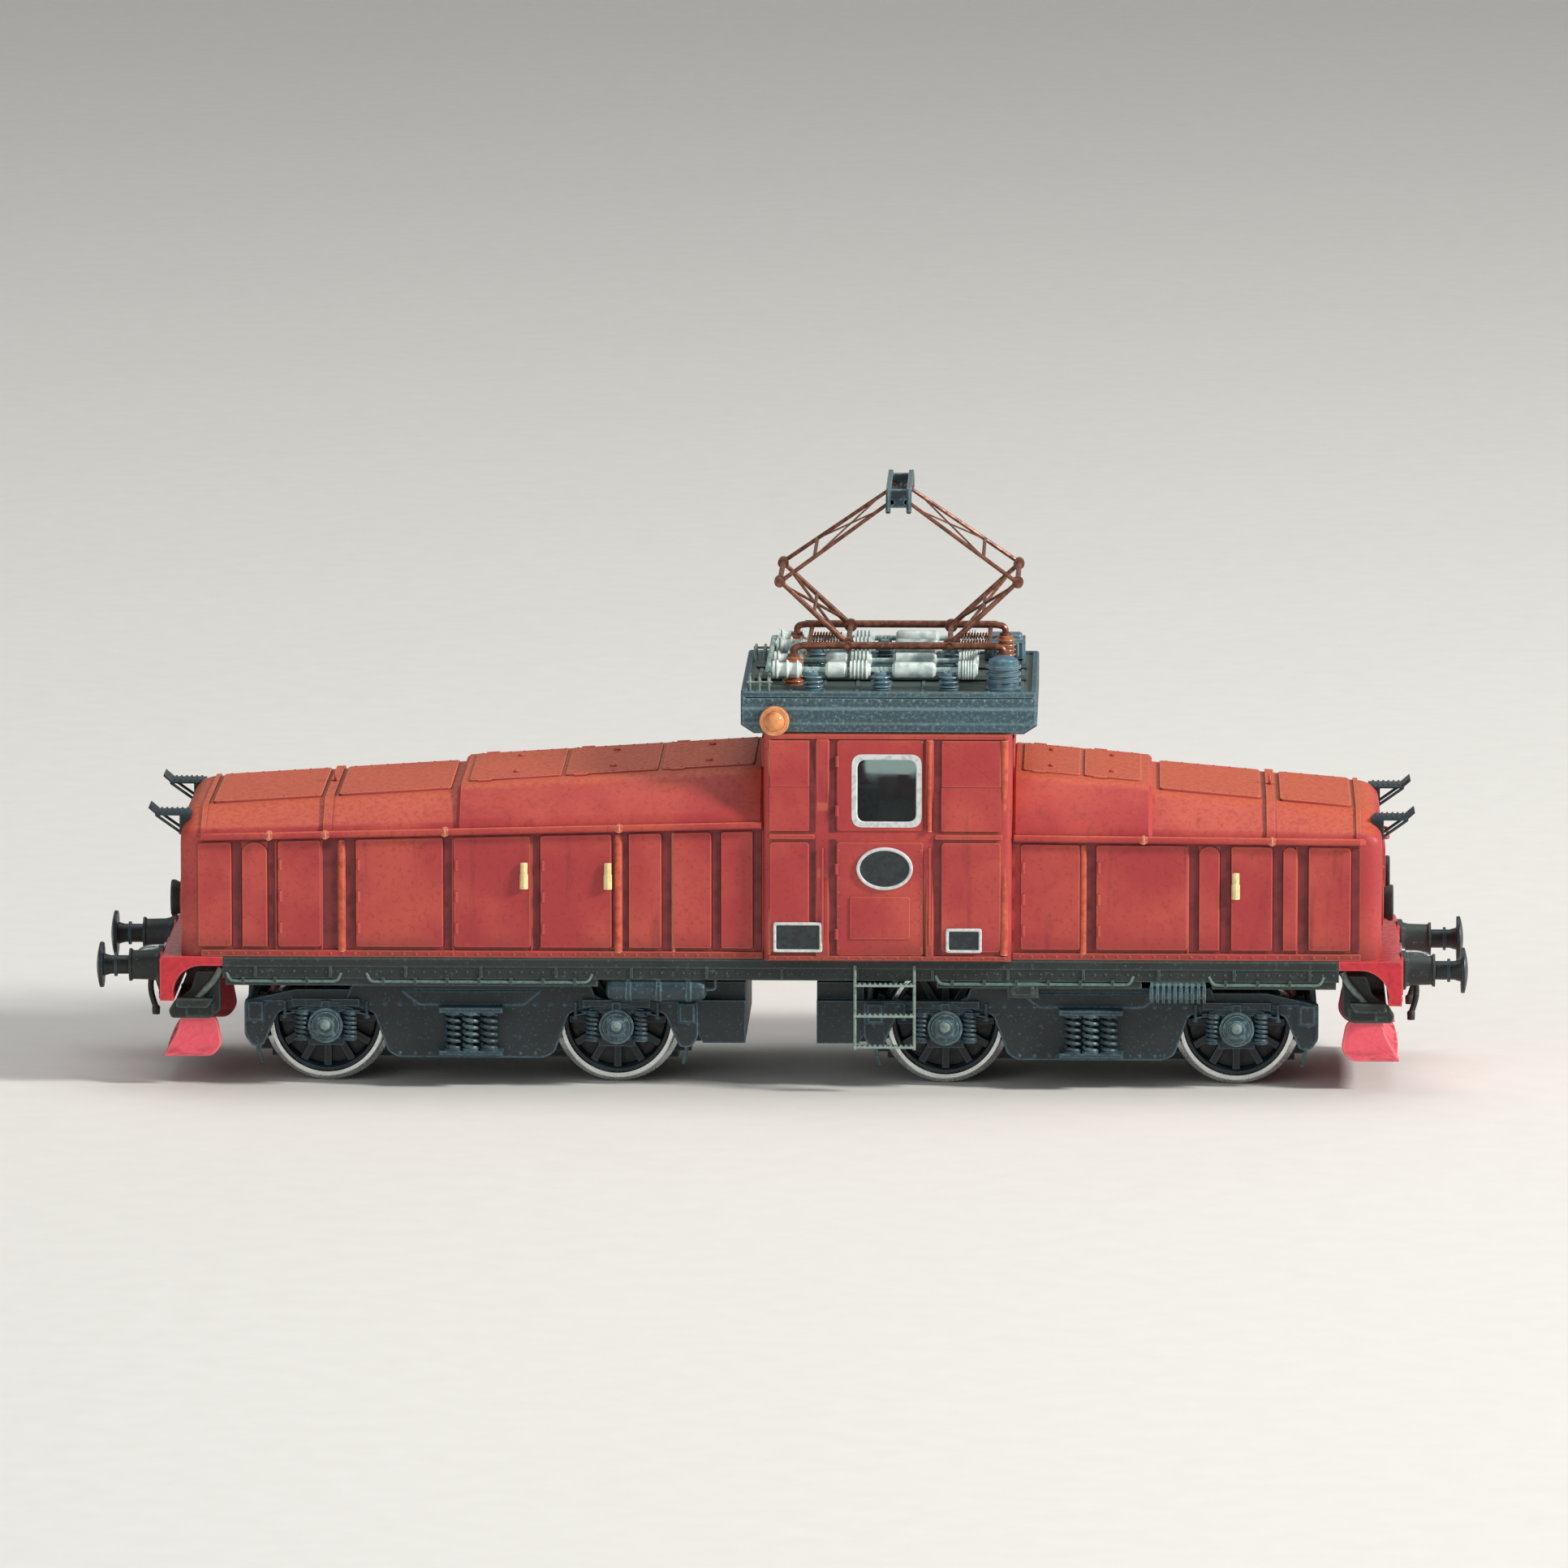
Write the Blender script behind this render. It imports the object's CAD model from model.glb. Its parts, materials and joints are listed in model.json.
"""Looks of a 1:87 centre-cab electric locomotive, made around its packed design.

Every length below is in millimetres until a mesh is built, in the design's own frame: X along the
track with the long hood towards -X, Y across it, Z up from the tips of the wheel flanges.
"""

import json
import math

import bpy
import numpy as np
from mathutils import Matrix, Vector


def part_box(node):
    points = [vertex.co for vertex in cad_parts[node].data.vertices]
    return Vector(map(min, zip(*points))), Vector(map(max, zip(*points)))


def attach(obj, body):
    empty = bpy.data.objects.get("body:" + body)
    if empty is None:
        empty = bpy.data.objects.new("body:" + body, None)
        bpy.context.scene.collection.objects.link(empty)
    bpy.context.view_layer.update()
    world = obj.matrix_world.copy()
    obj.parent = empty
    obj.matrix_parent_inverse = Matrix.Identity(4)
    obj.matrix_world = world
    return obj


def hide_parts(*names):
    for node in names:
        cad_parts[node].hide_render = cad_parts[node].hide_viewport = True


bl_info = {
    "name": "Centre-cab locomotive looks",
    "version": (1, 0, 0),
    "blender": (4, 5, 0),
    "location": "3D View > Sidebar > Locomotive",
    "description": "Builds the visible pieces and finishes of a model locomotive round its design",
    "category": "Object",
}

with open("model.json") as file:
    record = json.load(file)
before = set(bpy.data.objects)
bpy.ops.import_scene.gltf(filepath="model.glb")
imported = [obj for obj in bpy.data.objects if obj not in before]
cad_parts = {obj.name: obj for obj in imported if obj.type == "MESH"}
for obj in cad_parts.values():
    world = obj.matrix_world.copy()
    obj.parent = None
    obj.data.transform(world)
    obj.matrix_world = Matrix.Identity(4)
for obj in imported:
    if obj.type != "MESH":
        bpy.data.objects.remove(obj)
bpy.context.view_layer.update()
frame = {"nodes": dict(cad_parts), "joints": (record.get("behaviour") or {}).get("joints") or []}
JOINTS = {joint["name"]: joint for joint in frame["joints"]}
ENDS = {"front": -1, "rear": 1}


def extent(node):
    """Lowest and highest corner of a design node."""
    low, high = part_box(node)
    return np.array(low) * 1000, np.array(high) * 1000


def pivot(joint):
    """The point that a joint turns about."""
    return np.array(JOINTS[joint]["pos_m"]) * 1000


# ---- sizes and colours -----------------------------------------------------------------------


def linear(code):
    """Scene-linear colour of an sRGB hex code, with full alpha."""
    share = np.array([int(code[i : i + 2], 16) for i in (0, 2, 4)]) / 255
    curve = np.where(share <= 0.04045, share / 12.92, ((share + 0.055) / 1.055) ** 2.4)
    return (*map(float, curve), 1.0)


def length_setting(name, description, millimetres):
    return bpy.props.FloatProperty(
        name=name,
        description=description,
        default=millimetres / 1000,
        min=0.0,
        precision=5,
        unit="LENGTH",
        subtype="DISTANCE",
    )


def colour_setting(name, description, code):
    return bpy.props.FloatVectorProperty(
        name=name,
        description=description,
        default=linear(code),
        size=4,
        min=0.0,
        max=1.0,
        subtype="COLOR",
    )


class LocomotiveSizes(bpy.types.PropertyGroup):
    """Sizes of the surface detail."""

    panel: length_setting("Panel height", "How far doors and panels stand out", 0.28)
    wall: length_setting("Shell wall", "Wall thickness of the hoods and cab", 0.8)
    rivet: length_setting("Rivet radius", "Radius of a rivet head", 0.17)
    arm_tube: length_setting("Arm tube radius", "Radius of the pantograph's lower arm tubes", 0.29)
    fine_tube: length_setting("Fine tube radius", "Radius of the upper arm tubes", 0.21)
    grain: length_setting("Paint grain", "Size of the paint's mottling", 0.5)


class LocomotiveColours(bpy.types.PropertyGroup):
    """Colours of the finishes."""

    body: colour_setting("Body red", "Side walls of the hoods and cab", "AD373A")
    body_sun: colour_setting("Sunned red", "Surfaces of the body that face up", "CF5E3E")
    body_dirt: colour_setting("Body shade", "Grime that collects in the body's corners", "5E1E1C")
    beam: colour_setting("Signal red", "Buffer beams", "D01F2E")
    plough: colour_setting("Plough red", "Snow ploughs", "F36070")
    chassis: colour_setting("Frame black", "Running plate and footboards", "232B2A")
    bogie: colour_setting("Bogie black", "Bogies and underframe equipment", "20292D")
    bogie_dust: colour_setting("Road dust", "Dust on the raised parts of the bogies", "557784")
    roof: colour_setting("Roof grey", "Cab roof", "3D5661")
    bright: colour_setting("Bright metal", "Wheel rims and window frames", "D9DDDC")
    copper: colour_setting("Copper brown", "Pantograph arms", "8E5C48")
    porcelain: colour_setting("Insulator brown", "Insulators under the pantograph", "B5673C")
    busbar: colour_setting("Busbar grey", "Conductors and switchgear on the roof", "A9C3BE")
    ivory: colour_setting("Ivory", "Door handles", "F2E2A6")
    lamp: colour_setting("Lamp copper", "Marker lamps", "E89B62")
    ladder: colour_setting("Step grey", "Ladders and pipes", "7F938B")


# ---- surfaces --------------------------------------------------------------------------------


class Skin:
    """Points, and tables of faces that each hold faces with the same number of corners."""

    def __init__(self, points, faces):
        self.points = np.asarray(points, float).reshape(-1, 3)
        self.faces = [np.asarray(table, int) for table in faces if len(table)]

    def moved(self, x=0.0, y=0.0, z=0.0):
        return Skin(self.points + (x, y, z), self.faces)

    def scaled(self, x=1.0, y=1.0, z=1.0):
        """Stretches by each factor. A mirror image gets its faces turned round."""
        faces = self.faces
        if x * y * z < 0:
            faces = [table[:, ::-1] for table in faces]
        return Skin(self.points * (x, y, z), faces)

    def turned(self, axis, degrees, about=(0.0, 0.0, 0.0)):
        """Rotates by the right-hand rule round X, Y or Z through a point."""
        angle = math.radians(degrees)
        c, s = math.cos(angle), math.sin(angle)
        a, b = [(1, 2), (2, 0), (0, 1)]["xyz".index(axis)]
        out = self.points - about
        out[:, a], out[:, b] = c * out[:, a] - s * out[:, b], s * out[:, a] + c * out[:, b]
        return Skin(out + about, self.faces)

    def bent(self, change):
        """Moves every point by a function of the whole table of points."""
        return Skin(change(self.points.copy()), self.faces)


def joined(*skins):
    """Several skins as one."""
    points, faces, start = [], [], 0
    for skin in skins:
        points.append(skin.points)
        faces += [table + start for table in skin.faces]
        start += len(skin.points)
    return Skin(np.concatenate(points), faces)


def both_sides(skin):
    return joined(skin, skin.scaled(y=-1))


def both_ends(skin):
    return joined(skin, skin.scaled(x=-1))


def welded(skin):
    """Merges points in the same place, and drops the corners and faces that this closes up."""
    _, first, back = np.unique(
        np.round(skin.points, 5), axis=0, return_index=True, return_inverse=True
    )
    back = back.reshape(-1)
    faces = []
    for table in skin.faces:
        table = back[table]
        keep = table != np.roll(table, 1, axis=1)
        count = keep.sum(axis=1)
        for corners in range(3, table.shape[1] + 1):
            rows = count == corners
            if rows.any():
                faces.append(table[rows][keep[rows]].reshape(-1, corners))
    return Skin(skin.points[first], faces)


def outward(skin):
    """Turns a closed skin's faces round if its signed volume, summed over fans, is negative."""
    volume = 0.0
    for table in skin.faces:
        corner = skin.points[table]
        for i in range(1, table.shape[1] - 1):
            volume += np.einsum(
                "ij,ij->", corner[:, 0], np.cross(corner[:, i], corner[:, i + 1])
            )
    if volume < 0:
        return Skin(skin.points, [table[:, ::-1] for table in skin.faces])
    return skin


def grid_quads(rows, columns, wrap_rows=False, wrap_columns=False, start=0):
    """Table of the four corners of every cell of a grid of points, stored row by row."""
    i = np.arange(rows if wrap_rows else rows - 1)
    j = np.arange(columns if wrap_columns else columns - 1)
    i, j = np.meshgrid(i, j, indexing="ij")
    after_i, after_j = (i + 1) % rows, (j + 1) % columns
    corners = (
        i * columns + j,
        after_i * columns + j,
        after_i * columns + after_j,
        i * columns + after_j,
    )
    return np.stack(corners, axis=-1).reshape(-1, 4) + start


def carried(rings, closed=False):
    """Skin over a row of rings, each a closed loop of the same number of points.

    An open row is closed by a flat face on its first and last ring."""
    rings = np.asarray(rings, float)
    count, around = rings.shape[:2]
    faces = [grid_quads(count, around, wrap_rows=closed, wrap_columns=True)]
    if not closed:
        loop = np.arange(around)
        faces += [loop[None, ::-1], loop[None] + (count - 1) * around]
    return outward(welded(Skin(rings, faces)))


def unit(v):
    return v / np.maximum(np.linalg.norm(v, axis=-1, keepdims=True), 1e-12)


def rounded(corners, radii, steps=5):
    """Open line with each inner corner replaced by a parabola between points a radius from it.

    Corners may have leading axes, for a whole family of lines at once."""
    corners = np.asarray(corners, float)
    t = np.linspace(0, 1, steps)[:, None]
    pieces = [corners[..., :1, :]]
    for i, radius in enumerate(radii, start=1):
        here = corners[..., i, :]
        start = here + radius * unit(corners[..., i - 1, :] - here)
        end = here + radius * unit(corners[..., i + 1, :] - here)
        start, here, end = (p[..., None, :] for p in (start, here, end))
        pieces.append((1 - t) ** 2 * start + 2 * t * (1 - t) * here + t**2 * end)
    pieces.append(corners[..., -1:, :])
    return np.concatenate(pieces, axis=-2)


def rounded_loop(corners, radius, steps=5):
    """Closed outline with every corner rounded."""
    corners = np.asarray(corners, float)
    line = np.concatenate([corners[-1:], corners, corners[:1]])
    return rounded(line, [radius] * len(corners), steps)[1:-1]


def rectangle(x0, x1, z0, z1, radius=0.3, steps=4):
    return rounded_loop([(x0, z0), (x1, z0), (x1, z1), (x0, z1)], radius, steps)


def ellipse(x, z, rx, rz, steps=40):
    """Points at equal steps of angle round an ellipse."""
    angle = np.linspace(0, 2 * math.pi, steps, endpoint=False)
    return np.stack([x + rx * np.cos(angle), z + rz * np.sin(angle)], axis=-1)


def inset(outline, distance):
    """Closed outline moved inwards: each corner slides along the middle of its two normals."""
    outline = np.asarray(outline, float)
    before = unit(outline - np.roll(outline, 1, axis=0))
    after = unit(np.roll(outline, -1, axis=0) - outline)
    x, z = outline.T
    area = np.sum(x * np.roll(z, -1) - np.roll(x, -1) * z)
    turn = math.copysign(1.0, area)
    normals = [np.stack([-d[:, 1], d[:, 0]], axis=-1) * turn for d in (before, after)]
    middle = unit(normals[0] + normals[1])
    reach = distance / np.maximum(np.sum(middle * normals[0], axis=-1, keepdims=True), 0.4)
    return outline + middle * reach


PLANES = {"x": (1, 2, 0), "y": (0, 2, 1), "z": (0, 1, 2)}


def lifted(outline, height, axis):
    """Flat outline as points in space, at a height along one axis."""
    a, b, c = PLANES[axis]
    out = np.zeros((len(outline), 3))
    out[:, a], out[:, b], out[:, c] = outline[:, 0], outline[:, 1], height
    return out


def slab(outline, low, high, axis="y", edge=0.0, both=False):
    """Outline carried along an axis, with its far edge, or both, drawn in by a small bevel."""
    outline = np.asarray(outline, float)
    rings = []
    if both and edge:
        rings.append(lifted(inset(outline, edge), low, axis))
    rings.append(lifted(outline, low + (edge if both else 0.0), axis))
    if edge:
        rings.append(lifted(outline, high - edge, axis))
        rings.append(lifted(inset(outline, edge * 0.3), high - edge * 0.3, axis))
        rings.append(lifted(inset(outline, edge), high, axis))
    else:
        rings.append(lifted(outline, high, axis))
    return carried(rings)


def block(low, high, edge=0.1):
    """Box between two corners with bevelled edges."""
    outline = [(low[0], low[2]), (high[0], low[2]), (high[0], high[2]), (low[0], high[2])]
    return slab(outline, low[1], high[1], "y", edge, both=True)


def ring_plate(outer, inner, low, high, axis="y", edge=0.08):
    """Flat ring between two outlines of the same number of points, bevelled on top."""
    loops = [
        lifted(outer, low, axis),
        lifted(outer, high - edge, axis),
        lifted(inset(outer, edge), high, axis),
        lifted(inset(inner, -edge), high, axis),
        lifted(inner, high - edge, axis),
        lifted(inner, low, axis),
    ]
    return carried(loops, closed=True)


def lathe(profile, centre, axis="z", sides=40):
    """Profile of (distance along the axis, radius) pairs turned a full circle round an axis.

    A profile that doesn't reach the axis at both ends is closed on itself, as a ring is."""
    profile = np.asarray(profile, float)
    angle = np.linspace(0, 2 * math.pi, sides, endpoint=False)
    a, b, c = PLANES[axis]
    rings = np.zeros((len(profile), sides, 3))
    rings[..., a] = profile[:, 1, None] * np.cos(angle)
    rings[..., b] = profile[:, 1, None] * np.sin(angle)
    rings[..., c] = profile[:, 0, None]
    bored = profile[0, 1] > 0 and profile[-1, 1] > 0
    return carried(rings + np.asarray(centre, float), closed=bored)


def barrel(low, high, radius, bore=0.0):
    """Profile for lathe: a plain cylinder, or a ring round a bore."""
    return [(low, bore), (low, radius), (high, radius), (high, bore)]


def tube(path, radius, sides=10, wrap=False):
    """Circle carried along a path, square to it. Its radius may change from point to point."""
    path = np.asarray(path, float)
    if wrap:
        along = unit(np.roll(path, -1, axis=0) - np.roll(path, 1, axis=0))
    else:
        along = unit(np.gradient(path, axis=0))
    reference = np.eye(3)[np.argmin(np.abs(along).max(axis=0))]
    across = unit(np.cross(along, reference))
    up = np.cross(across, along)
    angle = np.linspace(0, 2 * math.pi, sides, endpoint=False)[:, None]
    radius = np.broadcast_to(radius, len(path))[:, None, None]
    circle = np.cos(angle) * across[:, None] + np.sin(angle) * up[:, None]
    return carried(path[:, None] + radius * circle, closed=wrap)


def bent_tube(points, radius, bend=0.8, sides=10):
    """Tube along straight runs with rounded corners."""
    points = np.asarray(points, float)
    return tube(rounded(points, [bend] * (len(points) - 2), 6), radius, sides)


def arc_path(centre, radius, start, end, axis="y", steps=16):
    """Points round part of a circle in the plane across an axis, in degrees."""
    angle = np.radians(np.linspace(start, end, steps))
    flat = np.stack([radius * np.cos(angle), radius * np.sin(angle)], axis=-1)
    return lifted(flat, 0.0, axis) + np.asarray(centre, float)


def hoop(centre, radius, thick, axis="y"):
    """Round wire ring."""
    return tube(arc_path(centre, radius, 0, 345, axis, 24), thick, 8, wrap=True)


def coil(centre, radius, wire, height, turns, sides=7):
    """Upright spring: a wire on a helix, its height rising evenly with the angle."""
    share = np.linspace(0, 1, int(turns * 14))
    angle = share * turns * 2 * math.pi
    path = np.stack([radius * np.cos(angle), radius * np.sin(angle), share * height], axis=-1)
    return tube(path + np.asarray(centre, float), wire, sides)


def dome(centre, radius, axis="z", sign=1, sides=10):
    """Round rivet head: half a circle turned about its axis."""
    angle = np.radians([0, 30, 60, 90])
    profile = [(-0.05 * sign, 0.0), (-0.05 * sign, radius)]
    profile += list(zip(sign * 0.75 * radius * np.sin(angle), radius * np.cos(angle)))
    return lathe(profile, centre, axis, sides)


def domes(centres, radius, axis="z", sign=1, sides=8):
    return joined(*[dome(c, radius, axis, sign, sides) for c in centres])


def hexagon(x, z, radius):
    return ellipse(x, z, radius, radius, 6)


def shell(outer, inner, keep=None, wrap=False):
    """Wall between two grids of the same size. Cells that aren't kept are openings.

    Each cell edge with a kept cell on one side only gets a strip between the two grids."""
    rows, columns = outer.shape[:2]
    cells = (rows - 1, columns if wrap else columns - 1)
    keep = np.ones(cells, bool) if keep is None else keep
    quads = grid_quads(rows, columns, wrap_columns=wrap).reshape(*cells, 4)
    half = rows * columns
    faces = [quads[keep], quads[keep][:, ::-1] + half]
    pad = ((0, 0), (1, 1))
    sides = np.pad(keep, pad, mode="wrap" if wrap else "constant")
    ends = np.pad(keep, ((1, 1), (0, 0)))
    gaps = (
        (keep & ~ends[:-2], (0, 3)),
        (keep & ~ends[2:], (2, 1)),
        (keep & ~sides[:, :-2], (1, 0)),
        (keep & ~sides[:, 2:], (3, 2)),
    )
    for open_side, (a, b) in gaps:
        edge = quads[open_side]
        faces.append(np.stack([edge[:, b], edge[:, a], edge[:, a] + half, edge[:, b] + half], -1))
    points = np.concatenate([outer.reshape(-1, 3), inner.reshape(-1, 3)])
    return outward(welded(Skin(points, faces)))


def piece(name, parts, body, replaces=(), sharp=32.0):
    """Makes one mesh of several (skin, finish) pairs, and hangs it on its body."""
    mesh = bpy.data.meshes.new(name)
    skins = [skin for skin, _ in parts]
    whole = joined(*skins)
    tables = [table for skin in skins for table in skin.faces]
    stuffs = []
    for _, stuff in parts:
        if stuff not in stuffs:
            stuffs.append(stuff)
    slots = np.concatenate(
        [np.full(sum(map(len, skin.faces)), stuffs.index(stuff)) for skin, stuff in parts]
    )
    totals = np.concatenate([np.full(len(table), table.shape[1]) for table in tables])
    corners = np.concatenate([table.ravel() for table in whole.faces])
    mesh.vertices.add(len(whole.points))
    mesh.vertices.foreach_set("co", (whole.points / 1000).astype(np.float32).ravel())
    mesh.loops.add(len(corners))
    mesh.loops.foreach_set("vertex_index", corners.astype(np.int32))
    mesh.polygons.add(len(totals))
    starts = np.concatenate([[0], np.cumsum(totals)[:-1]])
    mesh.polygons.foreach_set("loop_start", starts.astype(np.int32))
    mesh.polygons.foreach_set("material_index", slots.astype(np.int32))
    mesh.update(calc_edges=True)
    mesh.validate()
    mesh.shade_smooth()
    mesh.set_sharp_from_angle(angle=math.radians(sharp))
    for stuff in stuffs:
        mesh.materials.append(STUFF[stuff])
    made = bpy.data.objects.new(name, mesh)
    bpy.context.scene.collection.objects.link(made)
    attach(made, body)
    if replaces:
        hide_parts(*replaces)
    return made


# ---- materials -------------------------------------------------------------------------------


# Each kind of node: Blender's name after "ShaderNode", its settings, its inputs in the order that
# they are given, and the output that is read.
SMOOTH, TIMES, DOT = (
    {"interpolation_type": "SMOOTHSTEP"}, {"operation": "MULTIPLY"}, {"operation": "DOT_PRODUCT"}
)
KINDS = {
    "shader": ("BsdfPrincipled", {}, (), None),
    "surface": ("OutputMaterial", {}, ("Surface",), None),
    "place": ("TexCoord", {}, (), "Object"),
    "normal": ("NewGeometry", {}, (), "Normal"),
    "height": ("SeparateXYZ", {}, (0,), "Z"),
    "scale": ("VectorMath", TIMES, (0, 1), 0),
    "lean": ("VectorMath", DOT, (0, 1), "Value"),
    "product": ("Math", TIMES, (0, 1), 0),
    "range": ("MapRange", SMOOTH, (0, 1, 2, 3, 4), 0),
    "mix": ("Mix", {"data_type": "RGBA"}, (0, 6, 7), 2),
    "stretch": ("Mapping", {}, ("Vector", "Scale"), 0),
    "noise": ("TexNoise", {}, ("Vector", "Scale", "Detail", "Roughness"), "Fac"),
    "bump": ("Bump", {}, ("Height", "Distance", "Strength"), 0),
    "bevel": ("Bevel", {"samples": 4}, ("Radius",), 0),
    "sky": ("AmbientOcclusion", {"samples": 6, "only_local": True}, ("Distance",), "AO"),
    "waves": ("TexWave", {"wave_type": "BANDS", "bands_direction": "Y"}, ("Vector", "Scale"), "Fac"),
    "bricks": (
        "TexBrick",
        {"offset": 0.4},
        ("Vector", "Scale", "Mortar Size", "Color1", "Color2", "Mortar"),
        "Color",
    ),
}


def add(tree, kind, *values, **inputs):
    """Adds a node with its settings and inputs, and gives the output that is read, or the node."""
    blender_name, settings, order, output = KINDS[kind]
    made = tree.nodes.new("ShaderNode" + blender_name)
    for name, value in settings.items():
        setattr(made, name, value)
    for key, value in (*zip(order, values), *inputs.items()):
        if isinstance(value, bpy.types.NodeSocket):
            tree.links.new(value, made.inputs[key])
        else:
            made.inputs[key].default_value = value
    return made if output is None else made.outputs[output]


def start(name, **shader):
    """New material with its shader, and the position on the piece in millimetres."""
    made = bpy.data.materials.new(name)
    made.use_nodes = True
    tree = made.node_tree
    tree.nodes.clear()
    skin = add(tree, "shader", **shader)
    add(tree, "surface", skin.outputs[0])
    return made, tree, skin, add(tree, "scale", add(tree, "place"), (1000.0,) * 3)


def worn_edges(tree, radius_mm):
    """Share that is 1 on edges and corners: how far a rounded normal leans from the true one."""
    lean = add(tree, "lean", add(tree, "bevel", radius_mm / 1000), add(tree, "normal"))
    return add(tree, "range", lean, 0.985, 0.86)


def crevices(tree, reach_mm):
    """Share that is 1 deep in a corner: how much of the near surroundings is blocked."""
    return add(tree, "range", add(tree, "sky", reach_mm / 1000), 0.8, 0.3, 0.0, 0.85)


def faces_up(tree, low, high):
    """Share that is 1 where a surface faces the sky."""
    return add(tree, "range", add(tree, "height", add(tree, "normal")), low, high)


def feed(tree, skin, **sockets):
    """Links outputs to the shader's colour, roughness and normal."""
    names = {"colour": "Base Color", "rough": "Roughness", "normal": "Normal"}
    for key, socket in sockets.items():
        tree.links.new(socket, skin.inputs[names[key]])


def patches(tree, pattern, band, first, second):
    """Mixes two colours by where a pattern lies in a band. The share at each end may follow it."""
    return add(tree, "mix", add(tree, "range", pattern, *band), first, second)


def grained(tree, skin, colour, pattern, gloss, depth_mm, strength):
    """Feeds the shader a colour, and a roughness and relief that both follow one pattern."""
    rough = add(tree, "range", pattern, 0.3, 0.7, *gloss)
    relief = add(tree, "bump", pattern, depth_mm / 1000, strength)
    feed(tree, skin, colour=colour, rough=rough, normal=relief)


def body_paint(colours, grain):
    """Sprayed enamel on moulded ABS: satin, faintly grainy, faded where it faces the sky.

    Grime gathers towards the bottom of the walls, and the paint thins to a lighter red on edges."""
    made, tree, skin, place = start(
        "sprayed_body_enamel", IOR=1.46, **{"Coat Weight": 0.05, "Coat Roughness": 0.4}
    )
    cloud = add(tree, "noise", place, 1 / 9.0, 4.0, 0.55)
    mottle = add(tree, "noise", place, 1 / grain, 2.0, 0.7)
    streak = add(tree, "noise", add(tree, "stretch", place, (1.0, 1.0, 0.12)), 1 / 1.6, 3.0, 0.55)
    red = patches(tree, cloud, (0.35, 0.7), colours.body, linear("C25044"))
    red = patches(tree, mottle, (0.52, 0.75, 0.0, 0.45), red, linear("8C2C2A"))
    red = patches(tree, streak, (0.56, 0.75, 0.0, 0.35), red, colours.body_dirt)
    height = add(tree, "height", place)
    grime = add(
        tree, "product", add(tree, "range", height, 18.0, 14.6), add(tree, "range", cloud, 0.3, 0.6)
    )
    red = add(tree, "mix", add(tree, "product", grime, 0.55), red, colours.body_dirt)
    sunned = patches(tree, mottle, (0.4, 0.7), colours.body_sun, linear("BE5038"))
    up = faces_up(tree, 0.62, 1.0)
    red = add(tree, "mix", up, red, sunned)
    wear = add(tree, "range", up, 0.0, 1.0, 0.3, 0.75)
    edge = add(tree, "product", worn_edges(tree, 0.16), wear)
    red = add(tree, "mix", edge, red, linear("E08664"))
    red = add(tree, "mix", crevices(tree, 0.9), red, linear("3A1414"))
    grained(tree, skin, red, mottle, (0.44, 0.62), 0.012, 0.5)
    return made


def beam_paint(colours, grain):
    """Signal red enamel over a metal casting: glossier than the body, chipped to dark primer."""
    made, tree, skin, place = start(
        "signal_red_enamel", IOR=1.5, **{"Coat Weight": 0.3, "Coat Roughness": 0.2}
    )
    mottle = add(tree, "noise", place, 1 / (grain * 1.4), 3.0, 0.55)
    chips = add(tree, "noise", place, 1 / 0.9, 5.0, 0.7)
    red = patches(tree, mottle, (0.35, 0.7), colours.beam, linear("B3182A"))
    edge = worn_edges(tree, 0.3)
    red = add(tree, "mix", add(tree, "product", edge, 0.5), red, linear("F4707A"))
    red = add(
        tree, "mix", add(tree, "product", edge, add(tree, "range", chips, 0.6, 0.66)), red,
        linear("4A3A36"),
    )
    grained(tree, skin, red, mottle, (0.28, 0.42), 0.01, 0.4)
    return made


def plough_paint(colours, grain):
    """Chalked red enamel on a moulded plough: matt, pinker on top and scoured below."""
    made, tree, skin, place = start("chalked_red_enamel", IOR=1.48)
    mottle = add(tree, "noise", place, 1 / grain, 3.0, 0.55)
    scour = add(tree, "noise", add(tree, "stretch", place, (0.25, 0.25, 1.0)), 1 / 0.8, 3.0, 0.55)
    red = patches(tree, mottle, (0.35, 0.7, 0.0, 0.35), colours.plough, linear("DE4452"))
    height = add(tree, "height", place)
    low = add(
        tree, "product", add(tree, "range", height, 5.2, 3.2),
        add(tree, "range", scour, 0.45, 0.6, 0.0, 0.6),
    )
    red = add(tree, "mix", low, red, linear("8A2A34"))
    red = add(tree, "mix", add(tree, "product", worn_edges(tree, 0.25), 0.5), red, linear("FF9AA0"))
    grained(tree, skin, red, mottle, (0.45, 0.62), 0.004, 0.3)
    return made


def dark_moulding(name, colour, dust, grain, rough=0.55, wear=0.6):
    """Black moulded plastic, lightly dry-brushed: dusty edges and a fine sparkle of grain."""
    made, tree, skin, place = start(name, IOR=1.49)
    mottle = add(tree, "noise", place, 1 / grain, 3.0, 0.75)
    cloud = add(tree, "noise", place, 1 / 5.0, 3.0, 0.55)
    base = patches(tree, cloud, (0.35, 0.7, 0.0, 0.5), colour, linear("12181A"))
    base = patches(tree, mottle, (0.56, 0.72, 0.0, 0.5), base, dust)
    dusty = add(
        tree, "product", worn_edges(tree, 0.28), add(tree, "range", mottle, 0.3, 0.6, 0.25, wear)
    )
    base = add(tree, "mix", dusty, base, dust)
    base = add(tree, "mix", add(tree, "product", faces_up(tree, 0.5, 0.95), 0.35), base, dust)
    grained(tree, skin, base, mottle, (rough - 0.1, rough + 0.12), 0.02, 0.6)
    return made


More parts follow.
